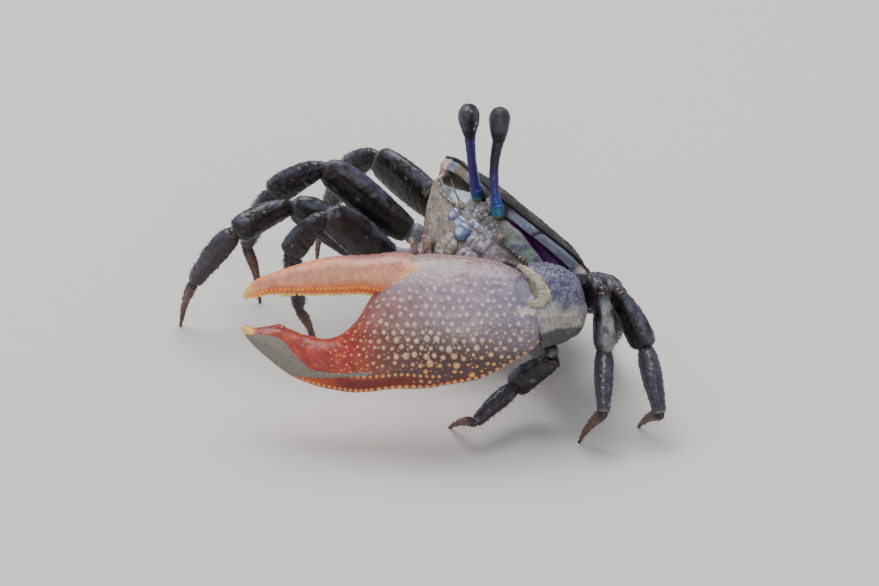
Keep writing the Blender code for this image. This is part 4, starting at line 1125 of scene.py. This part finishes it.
def leg_bristles():
    rng = np.random.default_rng(77)
    hairs = []
    for lane, (side, number) in enumerate(LEG_POSE):
        points = leg_points(side, number)
        for index, segment in enumerate(SEGMENTS):
            grid = leg_segment(side, number, index)[0]
            ahead = segment_frame(points, index)[2]
            rows, around = grid.shape[:2]
            count, reach = BRISTLES[segment]
            low = 0.25 if index == 0 else 0.06
            row = (rng.uniform(low, 0.93, count) * (rows - 1)).astype(int)
            edge = rng.choice([0.0, 0.0, math.pi - 0.6, math.pi + 0.6, math.pi], count)
            angle = edge + rng.normal(0, 0.22, count)
            column = (angle / (2 * math.pi) * around).astype(int) % around
            n = facing(grid)[row, column]
            aims = unit(n * 0.75 + ahead * 0.55 + rng.normal(0, 0.16, (count, 3)))
            bends = ahead * 0.35 + rng.normal(0, 0.06, (count, 3))
            lengths = reach * rng.uniform(0.5, 1.15, count)
            cells = np.stack([(index + row / rows) / 4.1, (lane + column / around) / 8.1], 1)
            hairs.append((grid[row, column] - n * 0.03, aims, bends, lengths, cells))
    roots, aims, bends, lengths, cells = (np.concatenate(values) for values in zip(*hairs))
    points, quads, tris = bristles(roots, aims, bends, lengths)
    paint = np.broadcast_to(SHELL_DARK * 0.9, points.shape)
    mesh = raw_mesh("leg_bristles", points, quads, tris, paint, np.zeros(len(points)))
    lay_out(mesh, cells)
    add_piece("leg_bristles", mesh, FINISHES["bristle"])


# Big claw: its profiles give millimetres along it from the wrist joint, and up or outwards

PALM_TOP = ((-0.8, 3.6), (2.2, 5.5), (5.2, 7.0), (9.5, 8.1), (14.5, 8.5), (20.6, 8.3), (26.6, 2.0),
            (28.5, -1.0), (30.8, -3.2), (33.4, -4.3), (36.6, -3.8), (39.4, -2.95), (41.2, -2.5),
            (43.0, -2.75), (45.2, -2.9), (46.4, -2.5), (47.0, -2.7))
PALM_LOW = ((-0.8, -4.2), (1.5, -6.2), (4.8, -8.2), (9.6, -10.7), (15.8, -12.0), (22.2, -12.4),
            (30, -12.9), (38, -10.8), (43.6, -6.9), (46.0, -4.2), (47.0, -2.9))
PALM_THICK = ((-0.8, 2.7), (2.0, 4.2), (8, 5.4), (15, 5.8), (21, 5.3), (27, 3.6), (33, 2.6),
              (40, 2.1), (45, 1.2), (47.0, 0.6))
# Upper and lower edge of the film of mud on the fixed finger
MUD_HIGH = ((24, -9.4), (28, -9.8), (33.4, -9.9), (36.7, -8.9), (38.6, -7.1), (40.5, -4.9), (44.2, -3.9),
            (47, -3.7))
MUD_LOW = ((24, -9.9), (28.2, -10.4), (33.4, -10.7), (37.8, -10.4), (41.6, -9.8), (47, -8.5))
PALM_START = -1.2
CLAW_END = 47.0
TUBERCLE_STEP = 1.46
TUBERCLES_END = 33.0
TOOTH_PLACE = 40.8
SMALLEST_GAP = 0.58
JOINT_PLACE = (2.4, 3.6)
JOINT_BARE = ((2.2, 3.6), (2.4, 2.6))


def palm_point(x, angle):
    """Claw coordinates of the palm's skin at a distance from the wrist and an angle round it."""
    high, low, thick = profile(PALM_TOP, x), profile(PALM_LOW, x), profile(PALM_THICK, x)
    c, s = np.cos(angle), np.sin(angle)
    bulge = np.where(s > 0, thick, 0.78 * thick)
    return (high + low) / 2 + (high - low) / 2 * c, bulge * np.sign(s) * np.abs(s) ** 0.92


def palm_depth(x, up):
    high, low = profile(PALM_TOP, x), profile(PALM_LOW, x)
    c = np.clip((2 * up - high - low) / (high - low), -0.999, 0.999)
    return profile(PALM_THICK, x) * (1 - c * c) ** 0.46


def scattered(rng, tries, low, high, gap, allowed):
    """Random places that are allowed and no nearer to each other than the gap."""
    kept = np.zeros((0, 2))
    for spot in rng.uniform(low, high, (tries, 2)):
        if allowed(*spot) and (not len(kept) or ((kept - spot) ** 2).sum(1).min() > gap * gap):
            kept = np.vstack([kept, spot])
    return kept


def oval(x, up, centre, radii):
    """Distance from the middle of an oval on the claw's face, 1 at its edge."""
    return np.sqrt(((x - centre[0]) / radii[0]) ** 2 + ((up - centre[1]) / radii[1]) ** 2)


def offset_rows(rng, first, last, low, high, step, stray):
    """Places in offset rows, each a little out of line."""
    x, up = np.meshgrid(np.arange(first, last, step), np.arange(low, high, 0.87 * step))
    x = x + 0.5 * step * (np.arange(len(up)) % 2)[:, None]
    spots = np.stack([x.ravel(), up.ravel()], 1)
    return spots + rng.normal(0, stray, spots.shape)


def bears_tubercle(x, up):
    """Whether a tubercle stands at a place on the palm's outer face."""
    high, low = profile(PALM_TOP, x), profile(PALM_LOW, x)
    if not low + 0.9 < up < high - 0.25 or x > 33 - 0.9 * max(0.0, up + 6):
        return False
    if x > 15 and (abs(up - second_row(x)) < 0.6 or (x > 20 and up < second_row(x))):
        return False
    return bool(oval(x, up, *JOINT_BARE) > 1)


def palm_tubercles():
    """Claw coordinates and radii of every grain on the palm and fixed finger."""
    rng = np.random.default_rng(5)
    spots = offset_rows(rng, 0.6, TUBERCLES_END, -12.4, 8.6, TUBERCLE_STEP, 0.17)
    spots = spots[[bears_tubercle(*spot) for spot in spots]]
    x, up = spots.T
    size = np.interp(up, [-11, -6, -1, 4, 5.5, 8], [0.38, 0.42, 0.42, 0.35, 0.24, 0.17])
    size = size * rng.uniform(0.78, 1.15, len(x))
    size = size * np.interp(x, [0, 6, 20, 27, 33], [0.8, 0.95, 1.1, 0.8, 0.5])
    size = size * np.where((up < -4) & (x < 24) & (rng.uniform(0, 1, len(x)) < 0.28), 1.5, 1.0)
    small = scattered(rng, 6000, (1.0, -12.6), (TUBERCLES_END, 8.0), SMALLEST_GAP,
                      lambda a, b: bears_tubercle(a, b) and b < -2.5)
    far = np.sqrt(((small[:, None] - spots[None]) ** 2).sum(-1)).min(1) > SMALLEST_GAP
    small = small[far]
    x, up = np.concatenate([spots, small]).T
    return x, up, palm_depth(x, up), np.concatenate([size, rng.uniform(0.12, 0.19, len(small))])


def second_row(x):
    """Level of the bead row that bounds the red band of the lower margin."""
    return profile(PALM_LOW, x) + np.interp(x, [15, 22, 32, 38], [1.5, 2.3, 2.5, 1.0])


def edge_beads():
    """Rows of beads on the lower and upper margins and the toothed edge: (x, up, face, size)."""
    rows = []
    for x in np.concatenate([np.arange(0.6, 26.0, 1.08), np.arange(26.6, 44.5, 0.82)]):
        up = profile(PALM_LOW, x) + 0.50
        size = np.interp(x, [0, 4, 24, 28, 40, 45], [0.32, 0.45, 0.47, 0.38, 0.26, 0.18])
        rows.append((x, up, 0.95 * palm_depth(x, up), size))
    for x in np.arange(16.0, 38.5, 0.98):
        rows.append((x, second_row(x), palm_depth(x, second_row(x)), 0.33))
    for x in np.arange(2.5, 21.0, 0.62):
        for shift, down, size in ((0.0, 0.18, 0.24), (0.3, 0.55, 0.21)):
            up = profile(PALM_TOP, x) - down
            rows.append((x + shift, up, palm_depth(x, up), size))
    for shift, face in ((0.0, 0.55), (0.5, -0.45)):
        for x in np.arange(25.4 + shift, 46.2, 0.80):
            size = np.interp(x, [25, 30, 40, 46], [0.28, 0.34, 0.30, 0.22])
            size = size * (1 + 0.5 * bump(TOOTH_PLACE, 0.8, x))
            rows.append((x, profile(PALM_TOP, x) - 0.08, face * profile(PALM_THICK, x), size))
    return [np.array(values) for values in zip(*rows)]


def palm_paint(grid, x, up, angle, big, beads):
    """Colours of the hand: big and beads say how far a point lies on a tubercle or a bead."""
    above = up - profile(PALM_LOW, x)
    rim = up - profile(PALM_TOP, x) + 0.4 * lumps(grid, 1.0, 55)
    across = (up - 3.6) * 0.86 + (x - 25.3) * 0.51
    skin = painted(PALM_MAUVE, [
        (PALM_PINK, ease(2.0, 7.5, up) * ease(4, 14, x)),
        (PALM_GREY, ease(12.0, 4.0, x) * ease(9, 2, up)),
        (PALM_BROWN, 0.92 * ease(-1.0, -8.0, up + 0.14 * (12 - x))),
        (PALM_RED, 0.7 * ease(14.0, 26.0, x + 0.5 * up) * ease(5.0, 0.0, up)),
        (PALM_BROWN, 0.18 * patches(grid, 3.0, 51, -0.3, 0.8)),
        (EDGE_BROWN * 0.8, 0.8 * ease(-1.3, -0.3, rim) * ease(21, 19, x)),
        (BAND_RED, 0.8 * ease(1.1, 0.5, above) * ease(6.0, 13.0, x)),
        (JOINT_GREY, ease(1.1, 0.75, oval(x, up, JOINT_PLACE, (1.9, 2.5)))),
        (CORNER_PINK, ease(1.0, 0.5, oval(x, up, (2.0, -0.2), (2.6, 0.75)))),
        (HINGE_ORANGE, 0.9 * bump(0.1, 0.75, across) * window(up, 2.6, 4.0, 6.4, 7.6)),
    ])
    red = ease(0.0, 1.0, np.clip((x - 24.0) / 7.0 + (-up - 5.0) * 0.02, 0, 1))
    band = ease(2.3, 1.5, above) * ease(16.0, 22.0, x)
    outside = painted(skin, [
        (mix(FINGER_RED, FINGER_EDGE, 0.3 * patches(grid, 2.6, 52, -0.2, 0.9)), red),
        (mix(BAND_RED, FINGER_EDGE, 0.6 * ease(30.0, 36.0, x)), band),
        (TIP_YELLOW, ease(44.6, 45.6, x) * ease(-4.6, -4.0, up)),
    ])
    inside = mix(FINGER_ORANGE, PALM_PINK, ease(22, 10, x))
    cream = painted(GRAIN_PALE, [
        (GRAIN_CREAM, ease(3.0, -4.0, up)),
        (GRAIN_ORANGE, ease(-5.0, -10.0, up)),
        (FINGER_ORANGE, ease(26, 31, x)),
    ])
    edge = painted(GRAIN_ORANGE, [
        (BEAD_ORANGE, ease(20, 30, x) * ease(-8, -9, up)),
        (EDGE_BROWN, ease(2.0, 4.0, up)),
        (CORNER_PINK, ease(23, 26, x) * ease(-8, -6, up)),
    ])
    return painted(inside, [
        (outside, ease(-0.2, 0.3, np.sin(angle))),
        (cream, 0.92 * ease(0.10, 0.75, big)),
        (edge, ease(0.15, 0.6, beads)),
    ])


def make_palm():
    rows, around = 330, 320
    share = shares(rows)
    x = PALM_START + (CLAW_END - PALM_START) * share
    angle = ring_angles(around)[None]
    squeeze = rounded(share, 0.05, 0.012)
    up, face = palm_point(x, angle)
    middle = (profile(PALM_TOP, x) + profile(PALM_LOW, x)) / 2
    up, face = middle + (up - middle) * squeeze, face * squeeze
    grid = on_claw(x, up, face)
    out = facing(grid)
    *spots, size = palm_tubercles()
    height, big = domes(grid, on_claw(*spots), size, 0.62, 0.7)
    *spots, size = edge_beads()
    tall, beads = domes(grid, on_claw(*spots), size, 0.95)
    tooth = 0.5 * bump(TOOTH_PLACE, 0.9, x) * ease(0.80, 0.97, np.cos(angle))
    swell = 0.18 * lumps(grid, 9.0, 53) + 0.03 * lumps(grid, 1.2, 54)
    hollow = 0.35 * ease(1.0, 0.6, oval(x, up, JOINT_PLACE, (2.0, 2.6)))
    lift = np.maximum(height, tall) + swell * squeeze - hollow * (face > 0)
    grid = grid + out * lift[..., None] + ACROSS * (0.5 * tooth)[..., None]
    paint = palm_paint(grid, x, up, angle, big, beads)
    film = ease(0.45, -0.45, up - profile(MUD_HIGH, x)) * ease(-0.20, 0.20, up - profile(MUD_LOW, x))
    film = film * ease(24.5, 27.5, x) * ease(-0.3, 0.3, np.sin(angle) + 0.25)
    parts = [(grid, paint, 0.95 * film + 0.04)]
    dress("big_claw_hand", parts, "palm", "big_claw_palm", "big_claw_fixed_finger")


FINGER_LINE = ((22.6, 5.2), (27.5, 5.6), (32.5, 5.45), (38.0, 4.8), (42.8, 4.0), (45.4, 2.9), (46.5, 1.7))
FINGER_HIGH = ((22.6, 3.9), (27.5, 2.95), (32.5, 2.85), (38.0, 2.25), (42.8, 1.40), (45.4, 0.95),
               (46.5, 0.40))
FINGER_THICK = ((22.6, 2.9), (27.5, 2.7), (36.0, 2.0), (43.5, 1.1), (46.5, 0.4))
# Rows of teeth: angle round the finger, gap, radius and how much the largest tooth adds
FINGER_TEETH = (
    (math.pi + 0.18, 0.80, 0.45, 0.8),
    (math.pi - 0.55, 0.90, 0.36, 0.0),
    (math.pi + 0.78, 0.72, 0.34, 0.0),
)
LARGE_TOOTH = 0.635
FINGER_GRAINS = 700


def finger_grains(grid, run):
    """Places and radii of three groups: the inner rows of teeth, the side row and the grains."""
    rows, around = grid.shape[:2]
    share = np.linspace(0, 1, rows)
    rng = np.random.default_rng(9)
    places, size, counts = [], [], []

    def add(s, turn, radius):
        places.append(grid[int(s * (rows - 1)), int(turn / (2 * math.pi) * around) % around])
        size.append(radius)

    for turn, gap, radius, tooth in FINGER_TEETH:
        for s in np.interp(np.arange(4.2, run[-1] - 0.8, gap), run, share):
            fade = np.interp(s, [0.1, 0.35, 0.7, 1], [0.7, 1.05, 0.95, 0.6])
            add(s, turn, radius * fade * (1 + tooth * bump(LARGE_TOOTH, 0.018, s)))
        counts.append(len(places))
    for _ in range(FINGER_GRAINS):
        s, turn = 0.06 + 0.84 * rng.uniform(0, 1) ** 1.8, rng.normal(0, 0.40)
        add(s, turn, rng.uniform(0.12, 0.22) * (1 - 0.5 * s))
    return [(places[a:b], size[a:b]) for a, b in ((0, counts[1]), (counts[1], counts[2]), (counts[2], None))]


def make_finger():
    rows, around = 260, 150
    s, angle = shares(rows), ring_angles(around)[None]
    x, up = spread(((20.6, 4.6),) + FINGER_LINE, rows).T
    squeeze = rounded(s, 0.08, 0.015)
    high, thick = (profile(pairs, x)[:, None] * squeeze for pairs in (FINGER_HIGH, FINGER_THICK))
    path = on_claw(x, up, 0.2)
    grid = ring_tube(path, high, thick, ACROSS, around)
    run = np.cumsum(np.linalg.norm(np.diff(path, axis=0, prepend=path[:1]), axis=1))
    teeth, side_row, grains = finger_grains(grid, run)
    tall, yellows = domes(grid, *teeth, 1.05)
    low, oranges = domes(grid, *side_row, 0.9)
    fine, small = domes(grid, *grains, 0.5)
    in_mouth = window(s, 0.13, 0.18, 0.88, 0.97)
    furrow = (bump(math.pi + 1.06, 0.09, angle) + bump(math.pi + 0.47, 0.10, angle)) * in_mouth
    lift = np.maximum.reduce([tall, low, fine])
    grid = raised(grid, lift - 0.16 * furrow + 0.03 * lumps(grid, 1.5, 61))
    level = np.cos(angle) + 0.10 * lumps(grid, 5.0, 62)
    paint = painted(FINGER_PEACH, [
        (FINGER_MAUVE, ease(-0.55, 0.35, level)),
        (FINGER_ORANGE, 0.90 * ease(0.35, 0.80, level) * ease(0.25, 0.55, s)),
        (FINGER_ROSE, 0.7 * ease(0.70, 0.92, level) * ease(0.55, 0.25, s)),
        (FINGER_ROSE, 0.7 * small * ease(0.6, 0.3, s)),
        (FINGER_EDGE, 0.75 * ease(-0.42, -0.62, np.cos(angle)) * in_mouth),
        (HINGE_CREAM, 0.6 * ease(0.14, 0.02, s)),
        (TIP_YELLOW, ease(0.76, 0.88, s)),
        (BEAD_ORANGE, ease(0.1, 0.5, oranges)),
        (TOOTH_YELLOW, ease(0.1, 0.5, yellows)),
    ])
    mud = 0.06 + 0.12 * patches(grid, 2.0, 63, 0.5, 1.1)
    dress("big_claw_thumb", [(grid, paint, mud)], "finger", "big_claw_finger")


WRIST_TOP = ((-7.0, 0.9), (-6.2, 3.6), (-4.2, 6.1), (-1.5, 7.2), (2.2, 7.2))
WRIST_LOW = ((-7.0, -0.9), (-6.4, -2.8), (-4.4, -4.6), (-1.5, -5.6), (2.2, -6.2))
WRIST_SLANT = 2.6 / 12.5
WRIST_THICK = 4.4
WRIST_HALF = 6.6
WRIST_GRAINS = 700
SKIN_LINE = ((3.8, 6.9), (2.5, 6.2), (0.7, 4.7), (-0.3, 3.0), (-0.3, 1.7), (0.8, 0.9), (2.4, 0.9))


def wrist_middle(x):
    """Middle and half height of the wrist at a distance from its joint."""
    high, low = profile(WRIST_TOP, x), profile(WRIST_LOW, x)
    return (high + low) / 2, (high - low) / 2


def wrist_thick(half):
    return WRIST_THICK * (np.maximum(half, 0.1) / WRIST_HALF) ** 0.6


def wrist_depth(x, up):
    mid, half = wrist_middle(np.clip(x - up * WRIST_SLANT, -7.0, 0.8))
    return wrist_thick(half) * np.sqrt(np.maximum(1 - ((up - mid) / half) ** 2, 0)) - 1.0


def wrist_skin():
    """Strip of soft skin on the outer face, along the joint with the palm."""
    count = 110
    x, up = spread(SKIN_LINE, count).T
    share = shares(count)
    on_palm = palm_depth(np.clip(x, 0.4, 9), up) * ease(0.2, 1.0, x)
    depth = np.maximum(on_palm, wrist_depth(x, up)) + 0.05
    depth = np.convolve(np.pad(depth, 6, mode="edge"), np.ones(13) / 13, "valid")
    girth = np.interp(share, [0, 0.3, 0.6, 1], [0.40, 0.72, 1.02, 0.50]) * rounded(share, 0.08, 0.08)
    grid = ring_tube(on_claw(x, up, depth), 0.30 * girth, girth, FACE, 40)
    grid = raised(grid, 0.03 * np.sin(share * 60) + 0.04 * lumps(grid, 0.8, 75))
    return grid, mix(SKIN_CREAM, MUD_GREY, patches(grid, 1.4, 76, -0.1, 0.9)), 0.1


def make_wrist():
    rows, around = 130, 150
    share, angle = shares(rows), ring_angles(around)[None]
    x = -7.2 + 8.6 * share
    mid, half = wrist_middle(x)
    half = half * rounded(share, 0.04, 0.08)
    up = mid + half * np.cos(angle)
    shift = up * WRIST_SLANT * ease(0.5, 1.0, share)
    grid = on_claw(x + shift, up, -1.0 + wrist_thick(half) * np.sin(angle))
    rng = np.random.default_rng(15)
    places, size = [], []
    for _ in range(WRIST_GRAINS):
        i, turn = int(rng.uniform(0.05, 0.93) * rows), rng.uniform(-1.3, 2.1)
        places.append(grid[i, int(turn / (2 * math.pi) * around) % around])
        size.append(rng.uniform(0.15, 0.30))
    height, grain = domes(grid, places, size, 0.5)
    crest = 0.25 * bump(math.pi * 0.60, 0.10, angle) * ease(0.1, 0.3, share)
    grid = raised(grid, height + crest + 0.12 * lumps(grid, 3.5, 71) + 0.04 * lumps(grid, 0.9, 72))
    level = up + 0.8 * lumps(grid, 3.0, 77)
    strip = np.interp(up, [0.9, 1.7, 3.0, 4.7, 6.2, 6.9], [0.8, -0.3, -0.3, 0.7, 2.5, 3.8])
    paint = painted(WRIST_BLUE, [
        (WRIST_PALE, ease(1.6, -0.4, level)),
        # Underside: its own dark olive, darkened further as painted shade
        (WRIST_OLIVE_AND_SHADE, ease(-2.1, -3.1, level + 0.10 * (x + 3))),
        (WRIST_BLUE * 0.55, 0.6 * ease(0.0, 0.9, lumps(grid * (1, 1, 0.4), 0.9, 73)) * ease(-1, 2, up)),
        (MUD_DARK, 0.5 * patches(grid, 0.8, 78, 0.5, 1.0) * ease(2, -1, up)),
        (GRAIN_PALE, 0.22 * grain * ease(-1, 2, up)),
        # Painted shadow: darkened skin colour in the gap between the skin strip and the palm
        (SKIN_CREAM * 0.45, ease(-0.3, 0.3, x + shift - strip) * ease(0.2, 0.9, up)),
    ])
    # Less mud where the underside's olive and painted shade lie
    mud = 0.30 * ease(1.0, -2.0, up) * (1 - 0.8 * ease(-2.1, -3.1, level))
    mud = mud + 0.2 * patches(grid, 1.6, 74, 0.3, 1.0)
    dress("big_claw_wrist_shell", [(grid, paint, mud), wrist_skin()], "wrist", "big_claw_wrist")


def make_arm():
    root = on_body(0.195, 0.215, -0.235)
    aim = on_claw(-2.4, -0.4, -3.0)
    tip = aim + unit(aim - root) * 0.8
    share, angle = shares(130), ring_angles(90)[None]
    girth = np.interp(share, [0, 0.15, 0.5, 0.85, 1], [1.5, 1.8, 2.8, 3.4, 3.0]) * rounded(share, 0.02, 0.05)
    grid = ring_tube(root + (tip - root) * share, girth * 1.1, girth * 0.9, UP, 90, 0.85)
    edge = 0.25 * (bump(0.7, 0.16, angle) + bump(2 * math.pi - 0.7, 0.16, angle)) * ease(0.2, 0.5, share)
    grid = raised(grid, edge * (1 + 0.5 * np.sin(share * 90)) + 0.05 * lumps(grid, 1.2, 81))
    # Random patches of the blue-grey that the legs carry as painted sheen
    paint = mix(LEG_BLACK, LEG_SHEEN_BLUE, 0.5 * patches(grid, 3.0, 82, -0.3, 0.9))
    dress("big_claw_arm_shell", [(grid, paint, 0.3 * patches(grid, 2.2, 83, 0, 1))], "leg", "big_claw_arm")


# Small claw

def small_claw_points():
    root = on_body(-0.21, 0.20, -0.29)
    places = ((-8.9, -19.35, -2.8), (-0.7, -21.95, -4.4), (-3.7, -22.35, 0.5), (-5.3, -22.15, 5.1))
    return [root] + [CENTRE + np.array(place) for place in places]


def small_tube(a, b, high, wide, upright, seed, pale=0.0):
    share = shares(80)
    knots = np.linspace(0, 1, len(high))
    high, wide = (np.interp(share, knots, size) * rounded(share, 0.07, 0.07) for size in (high, wide))
    grid = ring_tube(a + (b - a) * share, high, wide, upright, 48)
    grid = raised(grid, 0.05 * lumps(grid, 1.0, seed))
    paint = mix(CHEEK_TAN * 0.55, MOUTH_MAUVE * 0.8, patches(grid, 1.6, seed + 1, -0.3, 0.8))
    paint = mix(paint, HINGE_CREAM * 0.45, pale * ease(0.3, 0.9, share))
    return grid, paint, 0.3 * patches(grid, 1.3, seed + 2, 0.0, 0.9)


def make_small_claw():
    points = small_claw_points()
    sizes = (([0.9, 1.0, 1.3, 1.5, 1.6, 1.5, 1.3], [0.8, 0.9, 1.1, 1.2, 1.3, 1.2, 1.1]),
             ([1.0, 1.3, 1.5, 1.6, 1.5, 1.3, 1.1], [0.9, 1.2, 1.4, 1.4, 1.4, 1.2, 1.0]),
             ([0.9, 1.1, 1.3, 1.3, 1.2, 1.1, 0.9], [1.1, 1.6, 1.9, 2.0, 2.0, 1.9, 1.7]))
    aim = unit(points[4] - points[3])
    side = unit(np.cross(aim, FACE))
    low, high = points[3] - aim * 0.4 + side, points[3] + aim * 0.1 - side
    for index, name in enumerate(("arm", "wrist", "palm")):
        a, b = points[index], points[index + 1]
        over = 0.2 * unit(b - a)
        upright = UP if name == "arm" else FACE
        parts = [small_tube(a - over, b + over, *sizes[index], upright, 91 + 5 * index)]
        if name == "palm":
            parts.append(small_tube(low, low + aim * 5.3, [0.8, 0.8, 0.7, 0.6, 0.3],
                                    [0.75, 0.7, 0.6, 0.5, 0.3], FACE, 111, 0.7))
        dress("small_claw_%s_shell" % name, parts, "small_claw", "small_claw_" + name)
    part = small_tube(high, high + aim * 4.9, [0.7, 0.8, 0.7, 0.6, 0.3],
                      [0.7, 0.7, 0.6, 0.5, 0.3], FACE, 117, 0.7)
    dress("small_claw_thumb", [part], "small_claw", "small_claw_finger")


# Floor, light and camera

def make_floor():
    bpy.ops.mesh.primitive_plane_add(size=6.0, location=(0, 0, 0))
    floor = bpy.context.object
    floor.name = "floor"
    paper, _, shader = new_material("floor_paper")
    set_inputs(shader, Base_Color=(*rgb(214, 210, 204), 1.0), Roughness=0.9)
    floor.data.materials.append(paper)


def area_light(name, place, size, power, colour):
    light = bpy.data.lights.new(name, "AREA")
    light.shape = "DISK"
    light.size = size
    light.energy = power
    light.color = colour
    obj = placed(name, light)
    obj.location = place
    obj.rotation_euler = (Vector((0, 0, 0.02)) - Vector(place)).to_track_quat("-Z", "Y").to_euler()


def make_light():
    world = bpy.data.worlds.new("soft_sky")
    world.use_nodes = True
    set_inputs(world.node_tree.nodes["Background"], Color=(0.86, 0.91, 1.0, 1.0), Strength=0.55)
    bpy.context.scene.world = world
    area_light("sky_panel", (-0.15, 0.10, 0.75), 0.7, 7.0, (0.97, 0.98, 1.0))
    area_light("front_fill", (0.55, -0.65, 0.45), 0.6, 2.0, (1.0, 1.0, 1.0))


def make_camera():
    data = bpy.data.cameras.new("photo_view")
    data.sensor_width = SENSOR
    data.lens = VIEW_DISTANCE * SENSOR / (IMAGE_SIZE[0] / PIXELS_PER_MM)
    data.clip_start = 0.01
    data.clip_end = 50.0
    camera = placed("photo_view", data)
    right = (IMAGE_SIZE[0] / 2 - TRUNK_PIXEL[0]) / PIXELS_PER_MM
    up = (TRUNK_PIXEL[1] - IMAGE_SIZE[1] / 2) / PIXELS_PER_MM
    aim = CENTRE + RIGHTWARD * right + UPWARD * up
    turn = Matrix([RIGHTWARD, UPWARD, TOWARD]).transposed().to_4x4()
    camera.matrix_world = Matrix.Translation(Vector((aim + TOWARD * VIEW_DISTANCE) * MM)) @ turn
    bpy.context.scene.camera = camera


# Finishes: roughness, its unevenness, mottling, size of patches and of grains in millimetres,
# relief in millimetres, coat, sheen and gloss
SURFACES = {
    "shell": (0.58, 0.12, 0.35, 3.0, 0.30, 0.030, 0.0, 0.0, 0.32),
    "underside": (0.55, 0.12, 0.30, 2.0, 0.22, 0.030, 0.10, 0.0, 0.50),
    "mouth": (0.38, 0.12, 0.30, 1.0, 0.16, 0.020, 0.30, 0.0, 0.50),
    "face_blue": (0.22, 0.08, 0.25, 0.8, 0.20, 0.015, 0.60, 0.0, 0.50),
    "stalk": (0.36, 0.08, 0.15, 1.2, 0.14, 0.008, 0.20, 0.0, 0.35),
    "eye": (0.42, 0.06, 0.12, 0.8, 0.07, 0.006, 0.12, 0.0, 0.30),
    "leg": (0.34, 0.10, 0.40, 1.6, 0.18, 0.022, 0.22, 0.06, 0.40),
    "shin": (0.32, 0.10, 0.35, 1.4, 0.16, 0.018, 0.25, 0.05, 0.40),
    "toe": (0.42, 0.12, 0.35, 1.0, 0.14, 0.018, 0.15, 0.0, 0.50),
    "wrist": (0.45, 0.12, 0.30, 1.2, 0.20, 0.022, 0.15, 0.0, 0.50),
    "palm": (0.42, 0.10, 0.22, 1.6, 0.20, 0.018, 0.15, 0.0, 0.50),
    "finger": (0.40, 0.10, 0.22, 1.6, 0.18, 0.018, 0.15, 0.0, 0.50),
    "small_claw": (0.45, 0.10, 0.30, 1.0, 0.16, 0.020, 0.15, 0.0, 0.50),
    "bristle": (0.50, 0.05, 0.20, 1.0, 0.10, 0.004, 0.0, 0.0, 0.50),
}
FINISHES = {slot: look(slot + "_finish", *numbers) for slot, numbers in SURFACES.items()}

make_camera()
make_floor()
make_light()
make_carapace()
make_trunk()
make_abdomen()
for eye_side in SIDES:
    make_stalk(eye_side)
    make_eyeball(eye_side)
for mouth_side, mouth_sign in SIDES.items():
    make_mouth(mouth_side, mouth_sign)
make_face()
for leg in LEG_POSE:
    make_leg(*leg)
leg_bristles()
make_palm()
make_finger()
make_wrist()
make_arm()
make_small_claw()
